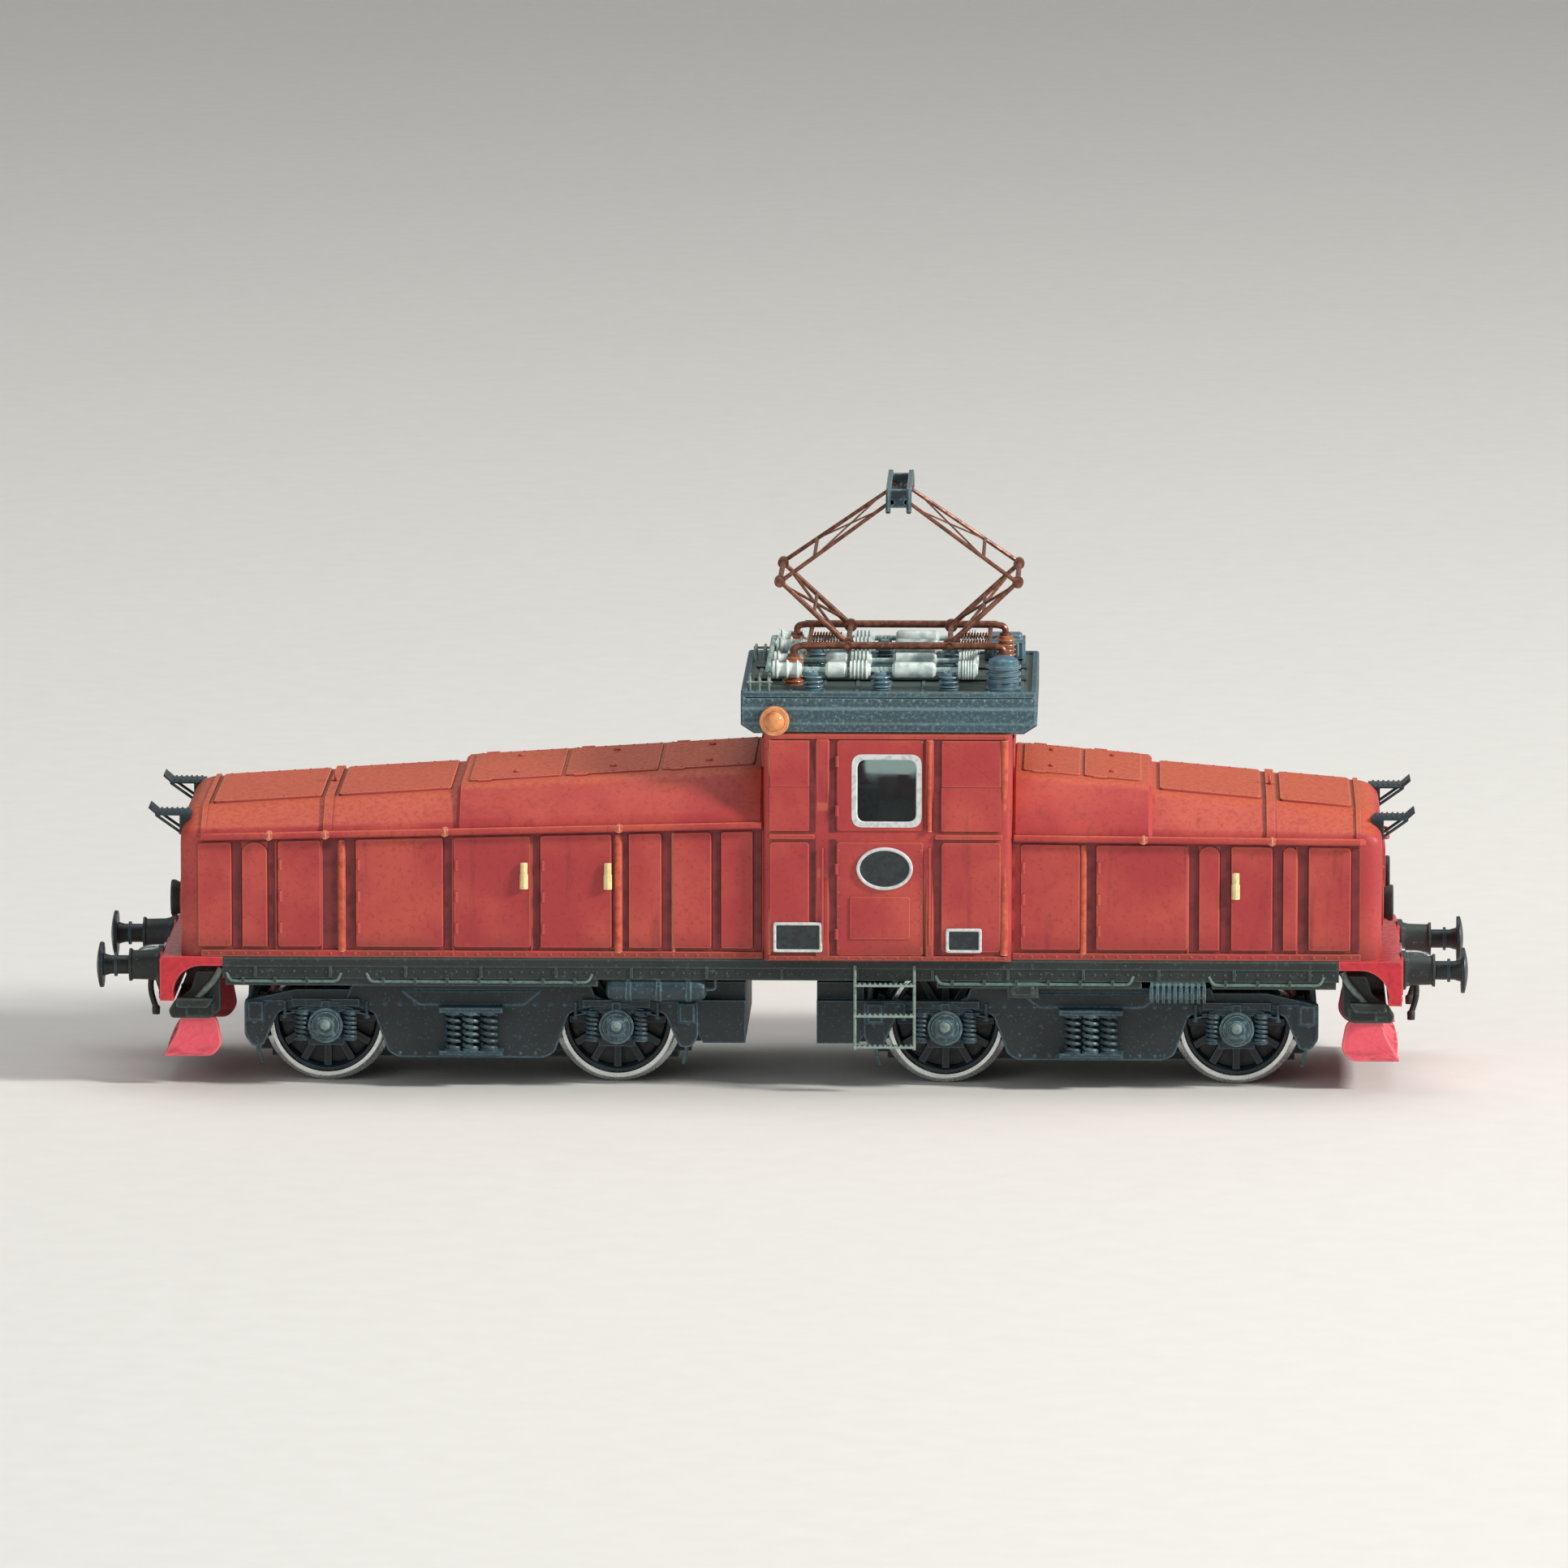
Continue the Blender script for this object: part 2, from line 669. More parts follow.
def roof_paint(colours, grain):
    """Blue-grey roof paint with a gritty, weathered surface."""
    made, tree, skin, place = start("weathered_roof_paint", IOR=1.48)
    mottle = add(tree, "noise", place, 1 / grain, 2.0, 0.8)
    cloud = add(tree, "noise", place, 1 / 6.0, 4.0, 0.55)
    grey = patches(tree, cloud, (0.35, 0.7), colours.roof, linear("3A5057"))
    grey = patches(tree, mottle, (0.5, 0.68, 0.0, 0.7), grey, linear("6F9299"))
    grey = patches(tree, mottle, (0.46, 0.3, 0.0, 0.6), grey, linear("22343B"))
    grey = add(tree, "mix", add(tree, "product", worn_edges(tree, 0.25), 0.45), grey, linear("93B0B2"))
    grained(tree, skin, grey, mottle, (0.48, 0.68), 0.02, 0.6)
    return made


def turned_metal(name, colour, tint, rough, lines_mm=0.25, stretch=(1.0, 1.0, 1.0)):
    """Machined metal: fine tool marks that vary its gloss, and a little oil staining."""
    made, tree, skin, place = start(name, Metallic=1.0)
    marks = add(tree, "noise", add(tree, "stretch", place, stretch), 1 / lines_mm, 2.0, 0.55)
    stain = add(tree, "noise", place, 1 / 3.0, 4.0, 0.55)
    shade = patches(tree, stain, (0.4, 0.75, 0.0, 0.6), colour, tint)
    grained(tree, skin, shade, marks, (rough - 0.08, rough + 0.12), 0.002, 0.3)
    return made


def arm_paint(colours):
    """Copper-brown paint on drawn wire, thin enough for bright metal to show on the corners."""
    made, tree, skin, place = start("painted_copper_wire", Metallic=0.35)
    mottle = add(tree, "noise", place, 1 / 0.7, 3.0, 0.55)
    brown = patches(tree, mottle, (0.38, 0.66), colours.copper, linear("5C3628"))
    brown = patches(tree, mottle, (0.6, 0.75, 0.0, 0.7), brown, linear("A5775C"))
    grained(tree, skin, brown, mottle, (0.32, 0.5), 0.008, 0.4)
    return made


def glaze(name, colour, deep):
    """Glazed porcelain: a glossy coat over colour that thins on the rims of the sheds."""
    made, tree, skin, place = start(
        name, Roughness=0.14, IOR=1.54, **{"Coat Weight": 0.6, "Coat Roughness": 0.06}
    )
    mottle = add(tree, "noise", place, 1 / 0.9, 3.0, 0.55)
    shade = patches(tree, mottle, (0.35, 0.7), colour, deep)
    shade = add(tree, "mix", add(tree, "product", worn_edges(tree, 0.25), 0.5), shade, linear("E0B089"))
    feed(tree, skin, colour=shade)
    return made


def enamel(name, colour, shade_code, edge_code, rough=0.35, grain=0.5):
    """Brushed-on enamel on a small fitting, with brush mottling and lighter edges."""
    made, tree, skin, place = start(name, IOR=1.5)
    mottle = add(tree, "noise", place, 1 / grain, 3.0, 0.55)
    tone = patches(tree, mottle, (0.38, 0.7, 0.0, 0.8), colour, linear(shade_code))
    tone = add(tree, "mix", add(tree, "product", worn_edges(tree, 0.15), 0.6), tone, linear(edge_code))
    grained(tree, skin, tone, mottle, (rough - 0.08, rough + 0.12), 0.008, 0.4)
    return made


def window_clear():
    """Clear styrene glazing: faintly green, with handling haze in soft patches."""
    made, tree, skin, place = start(
        "clear_styrene", IOR=1.59, **{"Transmission Weight": 1.0, "Base Color": linear("C6D6D6")}
    )
    haze = add(tree, "noise", place, 1 / 2.5, 4.0, 0.55)
    feed(tree, skin, rough=add(tree, "range", haze, 0.4, 0.75, 0.02, 0.16))
    return made


def lamp_glass():
    """Moulded lens: clear styrene with vertical fluting too fine to see as geometry."""
    made, tree, skin, place = start(
        "fluted_lens", Roughness=0.08, IOR=1.59,
        **{"Transmission Weight": 0.7, "Base Color": linear("E8E6DA")},
    )
    feed(tree, skin, normal=add(tree, "bump", add(tree, "waves", place, 1.1), 0.05 / 1000, 0.6))
    return made


def acetal():
    """Natural acetal gears: waxy off-white with light passing into the teeth."""
    made, tree, skin, place = start(
        "moulded_acetal", Roughness=0.4, IOR=1.48,
        **{"Subsurface Weight": 0.15, "Subsurface Scale": 0.0005},
    )
    tone = add(
        tree, "mix", add(tree, "noise", place, 1 / 1.5, 3.0, 0.55), linear("E6DFCB"), linear("CFC6AE")
    )
    feed(tree, skin, colour=tone)
    return made


def cast_zinc():
    """Die-cast zinc weight: dull grey with the cold-flow mottling of a casting."""
    made, tree, skin, place = start("die_cast_zinc", Metallic=0.9)
    flow = add(tree, "noise", place, 1 / 2.4, 5.0, 0.65)
    grit = add(tree, "noise", place, 1 / 0.3, 2.0, 0.55)
    tone = patches(tree, flow, (0.35, 0.7), linear("84868A"), linear("5C5E62"))
    grained(tree, skin, tone, grit, (0.42, 0.62), 0.02, 0.7)
    return made


def board_lacquer():
    """Lacquered circuit board: green with straight copper tracks showing through."""
    made, tree, skin, place = start("circuit_board_lacquer", Roughness=0.3, IOR=1.5)
    colours = map(linear, ("1F5C3C", "1A5236", "4C8A58"))
    tracks = add(tree, "bricks", place, 0.45, 0.09, *colours)
    depth = add(tree, "bump", tracks.node.outputs["Fac"], 0.02 / 1000, 0.5)
    feed(tree, skin, colour=tracks, normal=depth)
    return made


STUFF = {}


def finishes():
    """Makes every finish once, by the piece it is for."""
    colours = bpy.context.scene.locomotive_colours
    grain = bpy.context.scene.locomotive_sizes.grain * 1000
    bright = colours.bright
    STUFF.update(
        body=body_paint(colours, grain),
        beam=beam_paint(colours, grain),
        recess=enamel("grimed_joint_enamel", linear("7A2628"), "5E1C20", "8E3030", 0.55, 1.4),
        trim=enamel("faded_red_trim", linear("CF6044"), "A8382F", "F8CFAE", 0.34, 0.9),
        plough=plough_paint(colours, grain),
        chassis=dark_moulding("moulded_frame_black", colours.chassis, linear("5A6E68"), grain),
        bogie=dark_moulding(
            "moulded_bogie_black", colours.bogie, colours.bogie_dust, grain * 0.8, 0.5, 0.85
        ),
        tank=dark_moulding("painted_reservoir", linear("2E434B"), linear("7FA0A6"), grain, 0.42, 0.9),
        roof=roof_paint(colours, grain * 0.8),
        rim=turned_metal("turned_steel_tyre", bright, linear("A8ACAE"), 0.26),
        steel=turned_metal("drawn_steel", linear("B4B8BA"), linear("86888A"), 0.3),
        brass=turned_metal("turned_brass", linear("C8A152"), linear("94712F"), 0.26),
        copper=turned_metal("phosphor_bronze_strip", linear("C08552"), linear("8E5A34"), 0.3),
        arm=arm_paint(colours),
        porcelain=glaze("glazed_brown_porcelain", colours.porcelain, linear("7C3F24")),
        pale_porcelain=enamel(
            "blue_grey_switchgear_paint", linear("4F7282"), "2C4552", "B4D2D2", 0.3, 1.2
        ),
        bead=enamel("pale_moulded_insulator", linear("DDE8E2"), "94B0B0", "FAFCF8", 0.24, 1.1),
        busbar=enamel("grey_enamelled_conductor", colours.busbar, "6E8F90", "E6F0EA"),
        frame=enamel("silver_printed_frame", bright, "A9B0B0", "F6F8F8", 0.3),
        plate=enamel("black_enamelled_plate", linear("1E2426"), "2F3C40", "6A7C80", 0.3),
        ivory=enamel("ivory_enamel", colours.ivory, "D9BE74", "FFF6D8", 0.28, 0.8),
        lamp=enamel("copper_lamp_enamel", colours.lamp, "B9663A", "FFE0BC", 0.26, 0.9),
        step=enamel("grey_step_enamel", colours.ladder, "50625C", "B8C8C0", 0.4),
        pipe=enamel("dusty_pipe_enamel", linear("5D7873"), "2C3B3B", "9DB8AE", 0.45),
        clear=window_clear(),
        lens=lamp_glass(),
        gear=acetal(),
        zinc=cast_zinc(),
        board=board_lacquer(),
        rubber=dark_moulding("silicone_drive_tube", linear("3A3A3A"), linear("6A6A6A"), 0.6, 0.7, 0.3),
        inside=enamel("grey_green_cab_paint", linear("76806E"), "59634F", "A0AA94", 0.5),
        dark=dark_moulding("blackened_steel", linear("12171A"), linear("3A4E58"), grain, 0.42, 0.7),
    )


# ---- the hoods and cab -----------------------------------------------------------------------

LONG = {"cab": -1.8, "way": -1, "side": 29.6, "top": 33.9}
SHORT = {"cab": 24.6, "way": 1, "side": 28.3, "top": 33.4}
NOSE, BASE, WIDE, FLAT = 63.8, 14.6, 15.0, 10.7
CAB_X, CAB_WIDE, WAIST, CAB_TOP, LEAN_TOP = (-1.8, 24.6), 16.4, 28.0, 38.8, 15.4
NOSE_WALL, NOSE_TOP = 28.0, 29.9
NOSE_CURVE = 2.2
DOOR_FOOT, WIDEST_UNHINGED = 15.7, 4.5
BEAM_X, BUFFER_Y, BUFFER_Z = 66.0, 10.05, 12.8
BOGIE_X, AXLE_X = 33.0, 15.5
DECK_Z, BUS_Y, BUS_Z, INNER_BUS_Y, INNER_BUS_Z = 42.95, 11.6, 45.15, 5.2, 45.2


def hood_heights(hood, x):
    """Heights of the wall and the flat top, which rise evenly from the nose to the cab."""
    share = (NOSE - np.abs(x)) / (NOSE - abs(hood["cab"]))
    wall = NOSE_WALL + (hood["side"] - NOSE_WALL) * share
    return wall, NOSE_TOP + (hood["top"] - NOSE_TOP) * share


def hood_sections(hood, x, inset=0.0, grow=(0.0, 0.0, 0.0)):
    """Cross-sections of a hood at each x: wall, sloping shoulder and flat top, with soft corners.

    Over the last 2.2 mm to the nose each size shrinks along a quarter of an ellipse."""
    wall_z, top_z = hood_heights(hood, x)
    behind = np.clip((NOSE - inset - np.abs(x)) / NOSE_CURVE, 0, 1)
    shrink = 1 - np.sqrt(1 - (1 - behind) ** 2)
    wide = WIDE - inset - 1.3 * shrink + grow[0]
    flat = FLAT - 0.7 * inset - 0.6 * shrink + grow[0]
    wall_z = wall_z - 0.2 * inset - 0.9 * shrink + grow[1]
    top_z = top_z - inset - 1.5 * shrink + grow[2]
    base = np.full_like(x, BASE)
    zero = np.zeros_like(x)
    half = np.stack(
        [
            np.stack(p, axis=-1)
            for p in ((x, wide, base), (x, wide, wall_z), (x, flat, top_z), (x, zero, top_z))
        ],
        axis=-2,
    )
    half = rounded(half, [0.8, 1.0], 6)
    other = half[..., -2::-1, :] * (1, -1, 1)
    return np.concatenate([half, other], axis=-2)


def hood_shell(hood, wall):
    """Open-bottomed shell: sections from the cab to the nose, then shrunk onto a point there."""
    way = hood["way"]
    grids = []
    for inset in (0.0, wall):
        nose = NOSE - inset
        back = np.linspace(abs(hood["cab"]), NOSE - 2.4, 12)
        turn = NOSE - NOSE_CURVE + (NOSE_CURVE - inset) * np.sin(np.linspace(0, math.pi / 2, 9))
        lines = hood_sections(hood, way * np.concatenate([back, turn]), inset)
        pole = np.array([way * nose, 0.0, BASE])
        face = pole + (lines[-1] - pole) * np.array([0.66, 0.33, 0.0])[:, None, None]
        grids.append(np.concatenate([lines, face]))
    return shell(grids[0], grids[1])


def side_wall(skin):
    """Takes a shape made flat, with Y as its height, onto both side walls of a hood."""
    return both_sides(skin.moved(y=WIDE))


def door(hood, x0, x1, high, rounded_top, low=DOOR_FOOT):
    """Raised door or panel whose top follows the slope of the wall."""
    tops = [hood_heights(hood, np.array(float(x)))[0] - 1.25 for x in (x0, x1)]
    if rounded_top:
        middle, reach = (x0 + x1) / 2, (x1 - x0) / 2
        angle = np.radians(np.linspace(0, 180, 13))
        crown = np.stack(
            [middle + reach * np.cos(angle), min(tops) - reach * 0.8 + 0.8 * reach * np.sin(angle)], -1
        )
        outline = np.concatenate([[(x0, low), (x1, low)], crown])
    else:
        outline = rounded_loop([(x0, low), (x1, low), (x1, tops[1]), (x0, tops[0])], 0.3, 4)
    return slab(outline, -0.1, high, "y", 0.1)


def rib(hood, x, radius, out=0.0):
    """Half-round upright on the side wall, from the plinth to under the shoulder."""
    top = float(hood_heights(hood, np.array(x))[0]) - 1.2
    profile = [
        (15.2, 0.0), (15.2, radius), (top - radius, radius), (top - 0.3 * radius, 0.75 * radius),
        (top, 0.0),
    ]
    return lathe(profile, (x, out, 0.0), "z", 12)


def hinges(x, heights):
    return joined(
        *[lathe(barrel(z, z + 1.1, 0.22), (x, 0.28, 0.0), "z", 8) for z in heights]
    )


LONG_DOORS = (
    (-61.9, -58.3, 0), (-57.2, -54.5, 1), (-53.4, -48.8, 0), (-45.1, -35.8, 0), (-34.7, -26.5, 0),
    (-25.5, -17.9, 0), (-16.1, -12.6, 0), (-11.4, -7.3, 0), (-6.3, -2.9, 0),
)
SHORT_DOORS = (
    (25.5, 31.8, 0), (33.5, 43.2, 0), (44.4, 46.6, 1), (47.8, 52.2, 0), (53.3, 54.8, 1), (56.0, 60.5, 0)
)
RIBS = {
    -1: ((-53.55, 0.14), (-48.75, 0.14), (-34.75, 0.14), (-26.45, 0.14)),
    1: ((43.2, 0.16), (54.75, 0.14)),
}
PIPES = {-1: ((-46.6, 0.42), (-17.2, 0.42), (-11.35, 0.2)), 1: ((32.15, 0.34),)}


def joints(hood):
    """Recesses between neighbouring doors, for the darker paint that lies in them."""
    doors = LONG_DOORS if hood["way"] < 0 else SHORT_DOORS
    gaps = [(a[1], b[0]) for a, b in zip(doors[:-1], doors[1:])]
    gaps += [(60.5, 61.5)] if hood["way"] > 0 else [(-2.9, -1.9)]
    strips = [door(hood, a, b, 0.05, 0, 15.4) for a, b in gaps]
    x0, x1 = sorted((hood["way"] * 61.4, hood["cab"]))
    rise = [hood_heights(hood, np.array(float(x)))[0] for x in (x0, x1)]
    gutter = [(x0, rise[0] - 1.3), (x1, rise[1] - 1.3), (x1, rise[1] - 0.75), (x0, rise[0] - 0.75)]
    strips.append(slab(gutter, -0.1, 0.06, "y"))
    return side_wall(joined(*strips))


def hood_walls(hood, sizes):
    """Doors, ribs, hinges, rivets and the plinth of both side walls of a hood."""
    way, high = hood["way"], sizes.panel * 1000
    doors = LONG_DOORS if way < 0 else SHORT_DOORS
    x0, x1 = sorted((way * 61.6, hood["cab"]))
    flat = [door(hood, a, b, high, crown) for a, b, crown in doors]
    flat += [rib(hood, x, r) for x, r in RIBS[way]]
    flat.append(slab(rectangle(x0, x1, BASE, 15.35, 0.1, 2), -0.1, 0.32, "y", 0.1))
    flat += [hinges(a + 0.25, (17.2, 20.6, 24.0)) for a, b, _ in doors if b - a > WIDEST_UNHINGED]
    studs = np.arange(x0 + 0.8, x1 - 0.4, 1.3)
    flat.append(domes([(x, 0.32, 14.98) for x in studs], sizes.rivet * 800, "y"))
    return side_wall(joined(*flat))


def over_hood(hood, x, width, thick, out=0.18):
    """Strap over the hood: its own section, a little larger, carried a short way along X."""
    xs = np.array([x - width / 2, x + width / 2])
    loops = []
    for a in xs:
        line = [hood_sections(hood, np.array([a]), 0.0, (g, g * 0.6, g))[0] for g in (thick, -0.15)]
        above = [l[(l[:, 2] > 27.0)] for l in line]
        loops.append(np.concatenate([above[0], above[1][::-1]]))
    eye = float(hood_heights(hood, np.array(x))[1]) + thick
    parts = [carried(loops)]
    if out:
        parts += [
            hoop((x, 0, eye + 0.45), 0.5, 0.14, "x"),
            lathe(
                [(eye - 0.1, 0.0), (eye - 0.1, 0.45), (eye + 0.1, 0.45), (eye + 0.2, 0.0)], (x, 0, 0),
                "z", 16,
            ),
        ]
    return joined(*parts)


def top_plates(hood, spans):
    """Raised plates with rivets on the flat top, sloping with it."""
    flat = []
    for a, b in spans:
        flat.append(slab(rectangle(a, b, -9.4, 9.4, 0.5), -0.1, 0.28, "z", 0.1))
        for y in (-8.9, 8.9):
            flat.append(domes([(x, y, 0.28) for x in np.arange(a + 0.8, b - 0.4, 1.7)], 0.15))

    def rise(points):
        points[:, 2] += hood_heights(hood, points[:, 0])[1]
        return points

    return joined(*flat).bent(rise)


def nose_fittings(hood):
    """Grille door, grab bar and lamp brackets on the end of a hood."""
    way = hood["way"]
    flat = [slab(rectangle(-5.4, 5.4, 16.2, 26.8, 0.6), 0.0, 0.3, "x", 0.1)]
    for z in np.arange(18.0, 24.5, 0.75):
        flat.append(block((0.25, -4.0, z), (0.5, 4.0, z + 0.42), 0.08))
    flat.append(
        ring_plate(
            rectangle(-4.6, 4.6, 17.2, 25.2, 0.4), rectangle(-4.1, 4.1, 17.7, 24.7, 0.3), 0.28, 0.55,
            "x",
        )
    )
    flat.append(
        bent_tube(
            [(0.1, -3.4, 26.0), (0.85, -3.4, 26.0), (0.85, 3.4, 26.0), (0.1, 3.4, 26.0)], 0.17, 0.4
        )
    )
    flat.append(domes([(0.3, y, z) for y in (-5.0, 5.0) for z in (16.7, 19.9, 23.1, 26.3)], 0.15, "x"))
    for y in (-9.6, 9.6):
        flat.append(
            ring_plate(
                ellipse(y, 20.0, 2.45, 2.45, 32), ellipse(y, 20.0, 1.9, 1.9, 32), -0.05, 0.25, "x"
            )
        )
    return joined(*flat).scaled(x=way).moved(x=way * NOSE)


def make_hoods():
    """Both hood shells with everything moulded on them."""
    sizes = bpy.context.scene.locomotive_sizes
    wall = sizes.wall * 1000
    plates = {-1: ((-60.6, -49.0), (-47.2, -35.2)), 1: ((40.2, 51.0), (53.0, 60.6))}
    for hood, name, strap in ((LONG, "long", -48.1), (SHORT, "short", 52.0)):
        way = hood["way"]
        posts = both_sides(
            lathe([(14.6, 0.0), (14.6, 1.9), (27.6, 1.9), (28.4, 0.0)], (way * 58.1, 9.0, 0), "z", 24)
        )
        skin = joined(
            hood_shell(hood, wall),
            hood_walls(hood, sizes),
            over_hood(hood, strap, 0.9, 0.28),
            over_hood(hood, way * 61.3, 0.5, 0.2, 0),
            top_plates(hood, plates[way]),
            nose_fittings(hood),
            posts,
        )
        pipes = side_wall(joined(*[rib(hood, x, r) for x, r in PIPES[way]]))
        piece(
            f"{name}_hood_shell",
            [(skin, "body"), (pipes, "trim"), (joints(hood), "recess")],
            "locomotive_body",
            [f"{name}_hood"],
        )


def hatch(hood, a, b):
    """Raised hatch: larger hood section over a length, with sloped ends and a lip along it."""
    ends = np.array([a, a + 0.35, b - 0.35, b])
    rings = []
    for x, grow in zip(ends, (-0.25, 0.0, 0.0, -0.25)):
        top = hood_sections(hood, np.array([x]), 0.0, (0.28 + grow, 0.3 + grow, 0.68 + grow))[0]
        under = hood_sections(hood, np.array([x]), 0.3)[0]
        top, under = (line[line[:, 2] > BASE + 0.1] for line in (top, under))
        rings.append(np.concatenate([top, under[::-1]]))
    return carried(rings)


def make_hatches():
    """Hatch over each hood beside the cab, with panel joints, hinges and lifting studs on top."""
    parts = []
    for hood, a, b in ((LONG, -34.4, -1.8), (SHORT, 24.6, 39.4)):
        spans = np.linspace(a + 0.9, b - 0.9, 4 if b - a > 20 else 3)
        flat = []
        for x0, x1 in zip(spans[:-1] + 0.2, spans[1:] - 0.2):
            flat.append(slab(rectangle(x0, x1, -9.2, 9.2, 0.4), 0.6, 0.88, "z", 0.1))
            for y in (-5.5, 5.5):
                flat.append(dome(((x0 + x1) / 2, y, 0.88), 0.42, "z", 1, 16))
            flat.append(
                domes([(x, y, 0.88) for x in np.arange(x0 + 0.6, x1, 1.5) for y in (-8.7, 8.7)], 0.14)
            )
            for y in (-9.6, 9.6):
                flat.append(
                    lathe(barrel(x0 + 1, x0 + 2.4, 0.2), (0, y, 0.72), "x", 8)
                )

        def rise(points, hood=hood):
            points[:, 2] += hood_heights(hood, points[:, 0])[1]
            return points

        parts += [hatch(hood, a, b), joined(*flat).bent(rise)]
    piece(
        "hood_hatch_covers", [(joined(*parts), "body")], "locomotive_body",
        ["hood_hatches"],
    )


def cab_half_width(z):
    """Half-width of the cab: upright to the waist, then leaning in evenly to the roof."""
    return CAB_WIDE - (CAB_WIDE - LEAN_TOP) * np.clip((z - WAIST) / (CAB_TOP - WAIST), 0, 1)


# Openings of the cab: from and to along a wall, then from and to in height.
DOOR_WINDOW = (8.15, 14.45, 29.55, 36.15)
END_WINDOWS = (2.2, 13.4, 35.2, 38.0)
PASSAGE_Y, PASSAGE_TOP = 14.1, 26.0


def cab_loop(z, inset):
    """Level loops round the cab with lines of points at every edge of an opening."""
    r = 0.8
    x0, x1 = CAB_X[0] + inset, CAB_X[1] - inset
    half = cab_half_width(z) - inset
    along = np.concatenate([[CAB_X[0] + r], np.linspace(*DOOR_WINDOW[:2], 3), [CAB_X[1] - r]])
    across = np.array([-PASSAGE_Y, -13.4, -2.2, 2.2, 13.4, PASSAGE_Y])
    angle = np.radians(np.linspace(0, 90, 5))[1:-1]
    loops = []
    for w in half:
        corner = max(r - inset, 0.2)
        bend = corner * np.stack([np.sin(angle), 1 - np.cos(angle)], -1)
        near = np.stack([along, np.full(len(along), -w)], -1)
        right = np.stack([np.full(6, x1), np.clip(across, -w + corner, w - corner)], -1)
        turn_1 = np.stack([x1 - corner + bend[:, 0], -w + bend[:, 1]], -1)
        turn_2 = np.stack([x1 - bend[:, 1], w - corner + bend[:, 0]], -1)
        half_loop = np.concatenate([near, turn_1, right, turn_2])
        middle = np.array([(x0 + x1) / 2, 0.0])
        loops.append(np.concatenate([half_loop, 2 * middle - half_loop]))
    return loops


def cab_walls(wall):
    """Cab shell with its windows, and the passages that open it to the hoods, left out."""
    z = np.array([14.6, 15.2, 20.0, 26.0, 28.0, 28.3, 29.55, 33.0, 35.2, 36.15, 38.0, 38.8])
    grids = []
    for inset in (0.0, wall):
        loops = np.array(cab_loop(z, inset))
        height = np.broadcast_to(z[:, None, None], (*loops.shape[:2], 1))
        grids.append(np.concatenate([loops, height], axis=-1))
    outer = grids[0]
    around = np.roll(outer, -1, axis=1)
    centre = (outer[:-1] + outer[1:] + around[:-1] + around[1:]) / 4
    x, y, up = centre[..., 0], np.abs(centre[..., 1]), centre[..., 2]
    side = y > 15.2
    end = (x < CAB_X[0] + 0.3) | (x > CAB_X[1] - 0.3)

    def within(along, opening):
        near, far, low, high = opening
        return (along > near) & (along < far) & (up > low) & (up < high)

    window = side & within(x, DOOR_WINDOW)
    back = end & within(y, END_WINDOWS)
    passage = end & (y < PASSAGE_Y) & (up < PASSAGE_TOP)
    return shell(outer, grids[1], ~(window | back | passage), wrap=True)


def on_cab(skin):
    """Takes a shape made flat, with Y as its height, onto the leaning sides of the cab."""

    def lean(points):
        points[:, 1] += cab_half_width(points[:, 2])
        return points

    return both_sides(skin.bent(lean))


